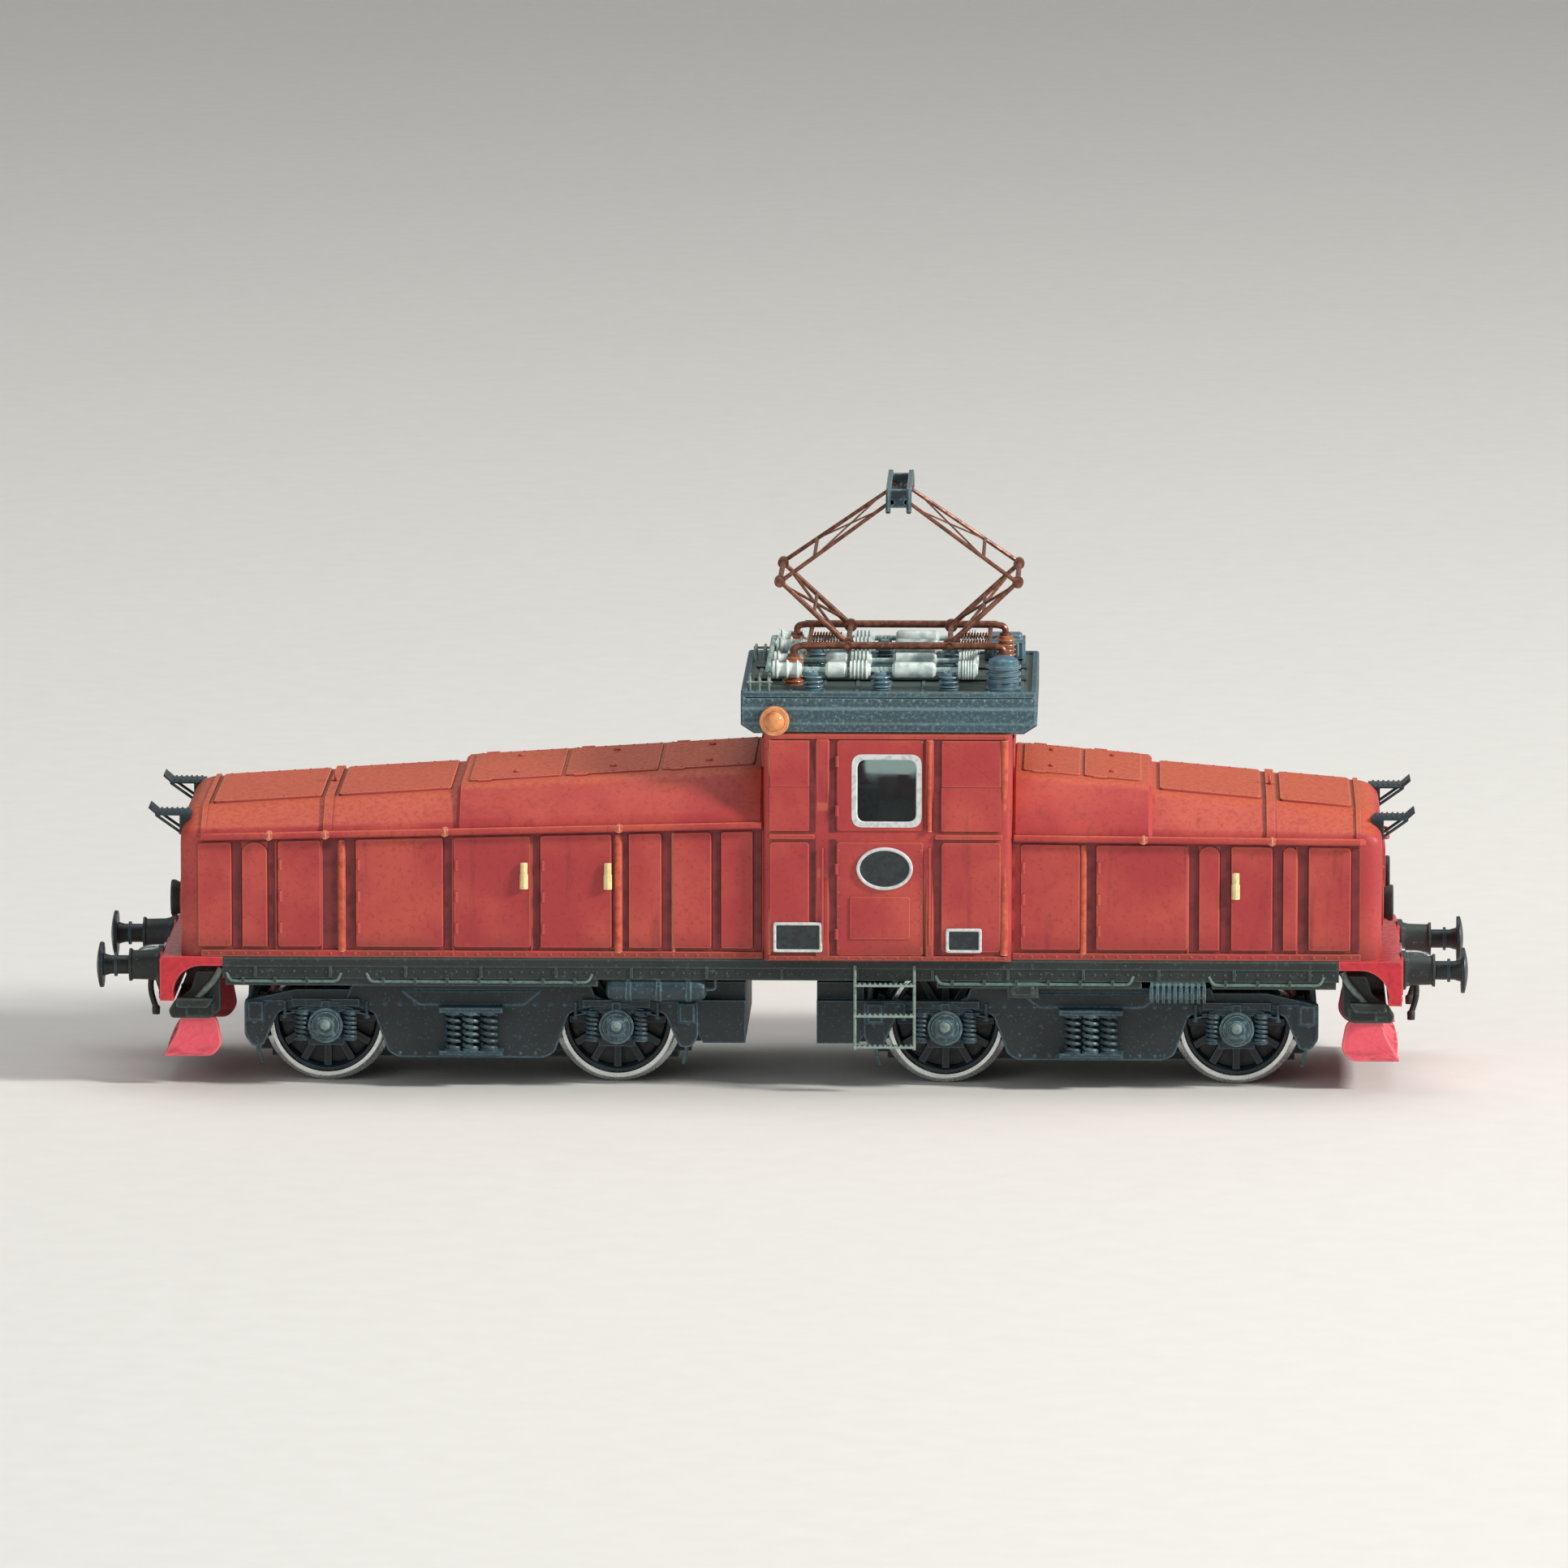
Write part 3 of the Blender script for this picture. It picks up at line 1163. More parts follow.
def make_cab():
    """Cab shell with its doors, side panels, beads and grab rails."""
    sizes = bpy.context.scene.locomotive_sizes
    high = sizes.panel * 700
    flat = []
    for x0, x1 in ((-1.1, 3.1), (17.1, 23.4)):
        flat.append(slab(rectangle(x0, x1, 15.6, 27.4, 0.4), -0.1, high, "y", 0.1))
        for low, top in ((28.6, 33.2), (33.2, 38.2)):
            flat.append(
                slab(rectangle(x0, x1, low, top - 0.02, 0.1), -0.1, high, "y", 0.0 if top < 34 else 0.1)
            )
    flat.append(slab(rectangle(6.0, 15.2, 15.2, 27.4, 0.35), -0.1, high, "y", 0.1))
    flat.append(slab(rectangle(7.4, 13.8, 17.0, 21.6, 0.3), high - 0.05, high + 0.14, "y", 0.08))
    outer, inner = rectangle(6.0, 15.2, 28.6, 38.2, 0.4), rectangle(8.1, 14.5, 29.5, 36.2, 0.8)
    flat.append(ring_plate(outer, inner, -0.1, high, "y", 0.08))
    for x0, x1 in ((3.75, 5.25), (15.4, 16.3)):
        flat.append(slab(rectangle(x0, x1, 15.0, 38.3, 0.15, 2), -0.1, 0.36, "y", 0.16))
    for x0, x1 in ((-1.2, 3.7), (16.4, 23.6)):
        flat.append(slab(rectangle(x0, x1, 27.7, 28.25, 0.12, 2), -0.1, 0.3, "y", 0.12))
    flat.append(slab(rectangle(-1.2, 24.0, 14.7, 15.2, 0.1, 2), -0.1, 0.3, "y", 0.1))
    flat.append(slab(rectangle(-1.2, 24.0, 38.3, 38.75, 0.1, 2), -0.1, 0.22, "y", 0.08))
    flat.append(domes([(x, 0.3, 14.95) for x in np.arange(-0.6, 24.0, 1.3)], sizes.rivet * 800, "y"))
    for x in (6.15, 14.9):
        flat.append(domes([(x, high, z) for z in np.arange(16.0, 27.0, 1.5)], sizes.rivet * 700, "y"))
    flat += [hinges(6.0, (17.0, 24.0)), hinges(6.05, (30.2, 35.4))]
    for x in (4.5, 15.85):
        flat.append(
            bent_tube([(x, 0.3, 16.4), (x, 0.4, 16.8), (x, 0.4, 26.4), (x, 0.3, 26.8)], 0.13, 0.3, 8)
        )
    bead = ring_plate(
        rectangle(1.9, 13.7, 34.9, 38.3, 0.4), rectangle(2.4, 13.2, 35.35, 37.85, 0.3), 13.1, 13.4, "x"
    )
    beads = both_sides(both_ends(bead)).moved(x=11.4)
    skin = joined(cab_walls(sizes.wall * 1000), on_cab(joined(*flat)), beads)
    strips = [
        lathe(barrel(low, high, r), (x, out, 0.0), "z", 12)
        for x, out, low, high, r in (
            (15.85, 0.3, 28.6, 38.2, 0.24), (23.75, 0.0, 15.3, 38.2, 0.4), (-1.1, 0.0, 15.3, 38.2, 0.18)
        )
    ]
    gaps = [
        slab(rectangle(a, b, low, high, 0.05, 2), -0.1, 0.05, "y", 0.0)
        for a, b in ((3.05, 3.8), (5.2, 6.05), (16.25, 17.15))
        for low, high in ((15.3, 27.7), (28.4, 38.2))
    ]
    piece(
        "cab_body",
        [
            (skin, "body"),
            (on_cab(joined(*strips)), "trim"),
            (on_cab(joined(*gaps)), "recess"),
        ],
        "locomotive_body",
        ["cab_shell"],
    )
    outer, inner = rectangle(7.5, 15.1, 28.9, 36.8, 1.3, 8), rectangle(8.2, 14.4, 29.6, 36.1, 0.9, 8)
    frames = ring_plate(outer, inner, 0.05, 0.2, "y", 0.1)
    piece(
        "cab_window_frames", [(on_cab(frames), "frame")], "locomotive_body", ["window_frames"]
    )


def make_roof():
    """Cab roof: fascia with its bead, rim, deck, walkboards and the rails at its end."""
    outline = [(-2.8, 38.8), (25.8, 38.8), (27.2, 39.7), (27.2, 42.95), (-4.2, 42.95), (-4.2, 39.7)]
    parts = [slab(outline, -15.2, 15.2, "y", 0.25, both=True)]
    parts.append(
        ring_plate(
            rectangle(-4.2, 27.2, -15.2, 15.2, 0.5), rectangle(-3.5, 26.5, -14.5, 14.5, 0.4), 42.6,
            43.3, "z", 0.12,
        )
    )
    for z, r in ((41.5, 0.16), (39.9, 0.12)):
        loop = lifted(rectangle(-4.2, 27.2, -15.15, 15.15, 0.3, 6), z, "z")
        loop = np.clip(loop, (-4.05, -15.05, 0), (27.05, 15.05, 60))
        parts.append(tube(loop, r, 8, wrap=True))
    studs = [(x, -15.2, 42.4) for x in np.arange(-3.4, 27, 1.25)]
    parts.append(both_sides(domes(studs, 0.15, "y", -1)))
    for x in np.arange(-2.6, 26, 3.5):
        parts.append(block((x, -14.3, 42.9), (x + 0.3, 14.3, 43.1), 0.06))
    boards = [slab(rectangle(-3.4, 26.4, -14.4, 14.4, 0.3), 42.9, 43.0, "z")]
    for y in (-5.6, -4.3, 3.0, 4.3):
        boards.append(block((-3.0, y, 43.12), (26.0, y + 1.1, 43.36), 0.08))
    rails = []
    for x in (-3.3, -2.3, -1.3):
        rails.append(
            bent_tube(
                [(x, -12.6, 43.0), (x, -12.6, 44.25), (x, -8.6, 44.25), (x, -8.6, 43.0)], 0.16, 0.4, 8
            )
        )
    rails.append(bent_tube([(-3.6, -12.6, 43.9), (-0.9, -12.6, 43.9)], 0.14, 0.4, 8))
    piece(
        "roof_shell",
        [(joined(*parts), "roof"), (joined(*boards), "chassis"), (both_sides(joined(*rails)), "step")],
        "locomotive_body",
        ["cab_roof"],
    )


def make_side_fittings():
    """Plates, handles, handrails and marker lamps on the hoods and cab."""
    plates = [
        (ring_plate(ellipse(11.1, 24.6, 3.0, 2.3), ellipse(11.1, 24.6, 2.65, 1.95), 0.1, 0.5), "frame"),
        (slab(ellipse(11.1, 24.6, 2.7, 2.0), 0.1, 0.38, "y", 0.05), "plate"),
    ]
    for x0, x1, z1 in ((-0.7, 4.5, 18.8), (17.6, 21.4, 18.2)):
        outer, inner = (
            rectangle(x0, x1, 15.6, z1, 0.25), rectangle(x0 + 0.3, x1 - 0.3, 15.9, z1 - 0.3, 0.15)
        )
        plates.append((ring_plate(outer, inner, 0.1, 0.5), "frame"))
        plates.append((slab(inset(inner, -0.05), 0.1, 0.36, "y", 0.04), "plate"))
    piece(
        "blank_plates",
        [(both_sides(skin.moved(y=CAB_WIDE)), stuff) for skin, stuff in plates],
        "locomotive_body",
        ["number_plates"],
    )
    handles = []
    for x, z in ((-27.2, 23.6), (-18.3, 23.6), (48.3, 22.8)):
        handles.append(lathe([(0.1, 0.0), (0.1, 0.42), (0.45, 0.34), (0.6, 0.0)], (x, 0, z), "y", 16))
        lever = bent_tube([(x, 0.45, z), (x, 0.52, z - 0.3), (x, 0.5, z - 1.5)], [0.46] * 8, 0.3)
        handles += [lever, bent_tube([(x, 0.3, z + 1.2), (x, 0.5, z + 0.6), (x, 0.45, z)], 0.4, 0.3)]
    piece(
        "door_levers", [(side_wall(joined(*handles)), "ivory")], "locomotive_body",
        ["door_handles"],
    )

    rails, knobs = [], []
    for hood, posts in ((LONG, (-54.3, -48.3, -35.6, -17.1)), (SHORT, (38.5, 52.1))):
        def height(x, hood=hood):
            return float(hood_heights(hood, np.array(float(x)))[0]) - 0.55

        ends = (hood["way"] * 61.4, hood["cab"] + hood["way"] * 0.2)
        line = [(x, 0.75, height(x)) for x in np.linspace(*ends, 16)]
        line.insert(0, (hood["way"] * 61.75, 0.15, height(hood["way"] * 61.75) - 0.1))
        rails.append(tube(line, 0.38, 12))
        for x in posts:
            post = [
                (-0.05, 0.0), (-0.05, 0.45), (0.2, 0.3), (0.5, 0.3), (0.8, 0.5), (1.1, 0.45), (1.2, 0.0)
            ]
            knobs.append(lathe(post, (x, 0, height(x)), "y", 14))
            knobs.append(hoop((x, 0.75, height(x)), 0.42, 0.12, "x"))
    piece(
        "shoulder_rails",
        [(side_wall(joined(*rails)), "body"), (side_wall(joined(*knobs)), "trim")],
        "locomotive_body",
        ["hood_handrails"],
    )

    lamp = lathe(
        [
            (15.2, 0.0), (15.2, 1.2), (15.45, 1.55), (15.6, 1.6), (16.1, 1.6), (16.3, 1.5),
            (16.3, 1.15), (16.2, 1.1),
        ] + [(16.2, 0.6), (16.2, 0.0)],
        (-0.6, 0, 40.25),
        "y",
        40,
    )
    glass = lathe(
        [(16.15, 0.0), (16.15, 1.12), (16.45, 1.0), (16.75, 0.6), (16.9, 0.0)], (-0.6, 0, 40.25), "y",
        32,
    )
    piece(
        "round_marker_lamps",
        [(both_sides(lamp), "lamp"), (both_sides(glass), "lamp")],
        "locomotive_body",
        ["marker_lamps"],
    )


def make_noses():
    """Headlights with their lenses, and the footboards on the nose corners."""
    cases, glasses = [], []
    for way in (-1, 1):
        case = lathe(
            [
                (-0.1, 0.0), (-0.1, 1.6), (0.4, 1.68), (0.9, 1.93), (1.2, 1.93), (1.3, 1.85),
                (1.3, 1.65), (0.65, 1.6), (0.6, 0.0),
            ],
            (0, 9.6, 20.0),
            "x",
            40,
        )
        glass = lathe(
            [(0.62, 0.0), (0.62, 1.55), (0.95, 1.5), (1.2, 0.9), (1.3, 0.0)], (0, 9.6, 20.0), "x", 36
        )
        peak = tube(arc_path((1.15, 9.6, 20.0), 1.78, 20, 160, "x", 16), 0.14, 8)
        cases.append(both_sides(joined(case, peak)).scaled(x=way).moved(x=way * NOSE))
        glasses.append(both_sides(glass).scaled(x=way).moved(x=way * NOSE))
    piece(
        "headlight_housings", [(joined(*cases), "chassis")], "locomotive_body",
        ["headlights"],
    )
    piece(
        "headlight_glass", [(joined(*glasses), "lens")], "locomotive_body",
        ["headlight_lenses"],
    )

    board = block((62.75, 9.25, 29.3), (66.6, 12.55, 29.62), 0.1)
    grip = [block((x, 9.4, 29.58), (x + 0.2, 12.4, 29.76), 0.05) for x in np.arange(63.2, 66.4, 0.55)]
    lip = slab(
        [(66.4, 29.32), (67.3, 30.1), (67.2, 30.42), (66.3, 29.66)], 9.25, 12.55, "y", 0.08, both=True
    )
    braces = []
    for y in (9.4, 12.2):
        braces.append(
            bent_tube(
                [(62.8, y + 0.1, 27.3), (63.75, y + 0.1, 27.4), (66.5, y + 0.1, 29.35)], 0.16, 0.3, 8
            )
        )
        braces.append(block((62.8, y, 27.25), (64.0, y + 0.25, 29.4), 0.06))
    footboards = both_ends(both_sides(joined(board, *grip, lip, *braces)))
    piece(
        "nose_footboards", [(footboards, "dark")], "locomotive_body", ["end_footboards"]
    )


# ---- ends and underframe ---------------------------------------------------------------------


def make_ends():
    """Buffer beams with their plates and rivets, the buffers, and the coupling hooks with hoses."""
    beam, dark, bolts = [], [], []
    flange = rounded(
        [(59.3, 14.6), (65.3, 14.6), (66.0, 14.6), (66.0, 10.3), (66.0, 9.8)], [0, 0.5, 0.3], 4
    )
    web = [(64.55, 9.8), (64.6, 11.2)]
    arc = arc_path((61.6, 0, 10.6), 3.0, 0, 90, "y", 12)[:, (0, 2)]
    outline = np.concatenate([flange[1:], web, arc, [(59.3, 13.6), (59.3, 14.6)]])
    beam.append(carried([lifted(outline, y, "y") for y in (-15.3, 15.3)]))
    beam.append(slab([(64.7, 11.0), (64.7, 13.8), (61.0, 13.8)], -0.3, 0.3, "y", 0.06, both=True))
    rows = [
        (BEAM_X, y, z)
        for y in (
            *np.arange(-14.7, -12.4, 0.9), *np.arange(-7.2, 7.3, 1.2), *np.arange(12.6, 14.9, 0.9)
        )
        for z in (10.35, 14.1)
    ]
    beam.append(domes([(x - 0.02, y, z) for x, y, z in rows if abs(y) > 1.5], 0.17, "x"))
    for y in (-BUFFER_Y, BUFFER_Y):
        hole = np.roll(ellipse(y, BUFFER_Z, 1.7, 1.7, 32), -16, axis=0)
        plate = ring_plate(
            rectangle(y - 2.3, y + 2.3, 10.4, 14.5, 0.4, 8), hole, -0.05, 0.18, "x", 0.06
        )
        beam.append(plate.moved(x=BEAM_X))
    piece(
        "beam_castings", [(both_ends(joined(*beam)), "beam")], "locomotive_body",
        ["buffer_beams"],
    )

    for y in (-BUFFER_Y, BUFFER_Y):
        profile = [
            (66.0, 1.3), (66.0, 2.1), (66.45, 2.1), (66.6, 1.75), (67.2, 1.6), (69.2, 1.55),
            (69.35, 1.75), (69.6, 1.75), (69.6, 1.08), (66.2, 1.08),
        ]
        dark.append(lathe(profile, (0, y, BUFFER_Z), "x", 40))
        for a in (45, 135, 225, 315):
            c, s = 1.82 * math.cos(math.radians(a)), 1.82 * math.sin(math.radians(a))
            bolts.append(slab(hexagon(y + c, BUFFER_Z + s, 0.22), 66.4, 66.75, "x", 0.05))
    piece(
        "buffer_sleeves",
        [(both_ends(joined(*dark)), "chassis"), (both_ends(joined(*bolts)), "bogie")],
        "locomotive_body", ["buffer_housings"],
    )

    for end, way in ENDS.items():
        for side, across in (("left", 1), ("right", -1)):
            low, high = extent(f"buffer_{end}_{side}")
            middle = (low + high) / 2
            crown = np.linspace(0, 2.4, 8)
            head = [(73.1 - 0.35 * (r / 2.4) ** 2, r) for r in crown] + [
                (72.65, 2.45), (72.35, 2.4), (72.3, 1.2), (71.6, 1.0), (67.3, 1.0), (67.3, 0.0)
            ]
            skin = lathe(head, (0, middle[1], BUFFER_Z), "x", 44).scaled(x=way)
            ring = lathe(
                barrel(70.9, 71.2, 1.25, 0.99), (0, middle[1], BUFFER_Z), "x", 28
            ).scaled(x=way)
            piece(f"buffer_{end}_{side}_plunger", [(skin, "dark"), (ring, "bogie")],
                  f"buffer_{end}_{side}_body", [f"buffer_{end}_{side}"])

    hook = rounded(
        [
            (66.0, 0, BUFFER_Z), (68.2, 0, BUFFER_Z), (69.3, 0, 12.5), (69.3, 0, 11.6),
            (68.4, 0, 11.3), (68.0, 0, 11.9),
        ],
        [0.6, 0.6, 0.4, 0.4],
        6,
    )
    radius = np.interp(np.linspace(0, 1, len(hook)), [0, 0.3, 0.75, 1], [0.5, 0.42, 0.34, 0.14])
    parts = [tube(hook, radius, 12), block((65.95, -1.1, 11.6), (66.25, 1.1, 13.9), 0.08)]
    parts.append(
        lathe([(66.2, 0.0), (66.2, 0.75), (66.6, 0.7), (66.75, 0.0)], (0, 0, BUFFER_Z), "x", 20)
    )
    hoses = []
    for y in (-4.6, 4.6):
        hoses.append(
            bent_tube(
                [(65.9, y, 11.4), (67.5, y, 11.4), (67.9, y * 1.02, 9.4), (67.2, y * 1.06, 7.2)], 0.32,
                1.2, 12,
            )
        )
        hoses.append(
            lathe(
                [(65.95, 0.0), (65.95, 0.6), (66.5, 0.6), (66.7, 0.42), (66.7, 0.0)], (0, y, 11.4),
                "x", 16,
            )
        )
        hoses.append(
            lathe(
                [(6.55, 0.0), (6.55, 0.4), (7.3, 0.44), (7.5, 0.34), (7.5, 0.0)], (67.2, y * 1.06, 0),
                "z", 14,
            )
        )
    piece(
        "coupling_hooks_and_hoses",
        [(both_ends(joined(*parts)), "steel"), (both_ends(joined(*hoses)), "chassis")],
        "locomotive_body", ["coupling_hooks"],
    )


def plough_blade():
    """Blade as a surface of (across, down): hollow in its middle height and flared at its foot.

    It sweeps back towards its sides by a power of the distance from the middle."""
    across, down = np.meshgrid(np.linspace(-1, 1, 41), np.linspace(0, 1, 21), indexing="ij")
    y = across * (11.6 + 0.7 * down**2)
    z = 7.85 - 4.5 * down
    x = 63.75 + 2.1 * down**1.7 - 0.35 * np.sin(math.pi * down) - 0.55 * np.abs(across) ** 3
    return np.stack([x, y, z], -1)


def make_ploughs():
    """Snow ploughs: flared blade, rounded cheeks and foot bead, with brackets and stays behind."""
    face = plough_blade()
    red = [shell(face, face - (0.7, 0, 0))]
    red.append(tube(face[:, -1] + (-0.22, 0, 0.15), 0.24, 10))
    red.append(tube(face[:, 0] + (-0.3, 0, -0.05), 0.3, 10))
    red += [tube(face[column, 1:-1], 0.17, 8) for column in (7, 15, 25, 33)]
    cheek = rounded(
        [
            (62.0, 7.9), (63.9, 7.9), (64.4, 6.0), (65.95, 3.3), (60.6, 3.3), (59.6, 4.6), (60.2, 7.9),
            (62.0, 7.9),
        ],
        [0.5, 0.7, 0.35, 0.75, 0.7, 1.2],
        7,
    )[:-1]
    spots = [(i, j) for i in (3, 11, 20, 29, 37) for j in (4, 12)]
    red.append(domes([face[i, j] + (0.02, 0, 0) for i, j in spots], 0.2, "x"))
    red.append(both_sides(slab(cheek, 11.7, 12.45, "y", 0.14, both=True)))
    dark = [
        block((61.2, 6.6, 7.0), (64.3, 7.6, 10.2), 0.1),
        block((60.4, 11.9, 7.6), (63.4, 12.9, 9.2), 0.15),
    ]
    guard = [
        (59.7, 12.6), (59.7, 8.4), (60.8, 7.5), (65.0, 7.5), (65.3, 8.3), (64.6, 9.4), (62.9, 10.6),
        (62.3, 12.6),
    ]
    dark.append(slab(rounded_loop(guard, 0.3), 12.1, 12.75, "y", 0.1, both=True))
    rail = slab(
        rounded_loop([(60.4, 9.9), (64.4, 9.9), (64.2, 8.9), (61.0, 8.9)], 0.2), -14.6, 14.6, "y", 0.1,
        both=True,
    )
    stay = bent_tube(
        [(59.7, 13.0, 13.0), (60.1, 13.1, 12.0), (62.6, 13.1, 9.2), (64.4, 13.0, 9.1)], 0.33, 0.7, 10
    )
    piece(
        "plough_blades",
        [
            (both_ends(joined(*red)), "plough"),
            (both_ends(joined(rail, both_sides(joined(*dark)))), "chassis"),
            (both_ends(both_sides(stay)), "step"),
        ],
        "locomotive_body",
        ["snow_ploughs"],
    )


def make_underframe():
    """Ladders, reservoirs, and the pipes, stays, straps and rivets along the frame's edge."""
    rungs = []
    for x in (7.95, 14.25):
        rungs.append(bent_tube([(x, 15.45, 13.9), (x, 15.9, 13.2), (x, 16.05, 5.0)], 0.17, 0.5, 10))
    for z in (11.9, 8.6, 5.25):
        rungs.append(block((7.8, 15.25, z - 0.12), (14.4, 16.25, z + 0.12), 0.06))
        for x in np.arange(8.3, 14.0, 0.55):
            rungs.append(block((x, 15.35, z + 0.1), (x + 0.22, 16.15, z + 0.22), 0.04))
    piece(
        "cab_steps", [(both_sides(joined(*rungs)), "step")], "locomotive_body",
        ["cab_ladders"],
    )

    profile = [
        (-18.6, 0.0), (-18.55, 0.5), (-18.3, 0.95), (-17.8, 1.2), (-8.6, 1.2), (-8.1, 0.95),
        (-7.85, 0.5), (-7.8, 0.0),
    ]
    tank = [lathe(profile, (0, 14.3, 11.1), "x", 40)]
    for x in (-16.4, -13.2, -10.0):
        tank.append(lathe(barrel(x, x + 0.5, 1.3, 1.18), (0, 14.3, 11.1), "x", 36))
        tank.append(block((x, 13.6, 11.9), (x + 0.5, 15.0, 12.4), 0.08))
    tank.append(bent_tube([(-7.9, 14.3, 11.1), (-6.9, 14.3, 11.1), (-6.9, 14.3, 12.5)], 0.16, 0.4, 8))
    fins = []
    for x in np.arange(39.3, 45.1, 0.62):
        fins.append(lathe(barrel(x, x + 0.3, 1.15), (0, 14.7, 11.05), "x", 32))
    fins.append(lathe(barrel(39.2, 45.2, 0.75), (0, 14.7, 11.05), "x", 24))
    fins.append(block((39.3, 14.1, 11.8), (45.1, 15.2, 12.4), 0.08))
    tanks = both_sides(joined(*tank, *fins))
    piece(
        "reservoirs_and_resistors", [(tanks, "tank")], "locomotive_body",
        ["air_reservoirs"],
    )

    pipes, trim = [], []
    for x0, x1 in ((-58.9, -46.7), (45.5, 57.7), (-44.0, -20.0), (16.5, 37.5)):
        end = x1 if x0 > 0 else x0
        pipes.append(
            bent_tube(
                [
                    (x0, 15.25, 12.9), (x0 + 0.4, 15.35, 12.0), (x1 - 0.4, 15.35, 12.0),
                    (x1, 15.25, 12.9),
                ],
                0.17,
                0.5,
                8,
            )
        )
        for x in np.arange(x0 + 1.6, x1 - 1.0, 3.4):
            trim.append(block((x, 14.9, 11.75), (x + 0.35, 15.6, 12.5), 0.06))
    for x0, x1 in ((-59.0, -19.4), (16.6, 38.4), (45.8, 59.0)):
        trim.append(block((x0, 14.5, 11.5), (x1, 15.15, 12.45), 0.1))
    trim.append(domes([(x, 15.3, 13.05) for x in np.arange(-58.6, 59, 1.15)], 0.15, "y"))
    trim.append(slab(rectangle(-59.2, 59.2, 13.55, 14.5, 0.1, 2), 15.25, 15.42, "y", 0.05))
    for x in np.arange(-56, 57, 8.0):
        trim.append(block((x, 15.25, 12.45), (x + 0.35, 15.5, 13.6), 0.06))
    trim.append(block((24.0, 13.3, 10.4), (27.5, 15.3, 12.4), 0.25))
    trim.append(slab(rectangle(24.5, 27.0, 10.8, 11.9, 0.3), 15.28, 15.45, "y", 0.08))
    trim.append(domes([(x, 15.45, z) for x in (24.8, 26.7) for z in (11.1, 11.6)], 0.13, "y"))
    piece(
        "frame_edge_fittings",
        [(both_sides(joined(*trim)), "chassis"), (both_sides(joined(*pipes)), "pipe")],
        "locomotive_body",
    )


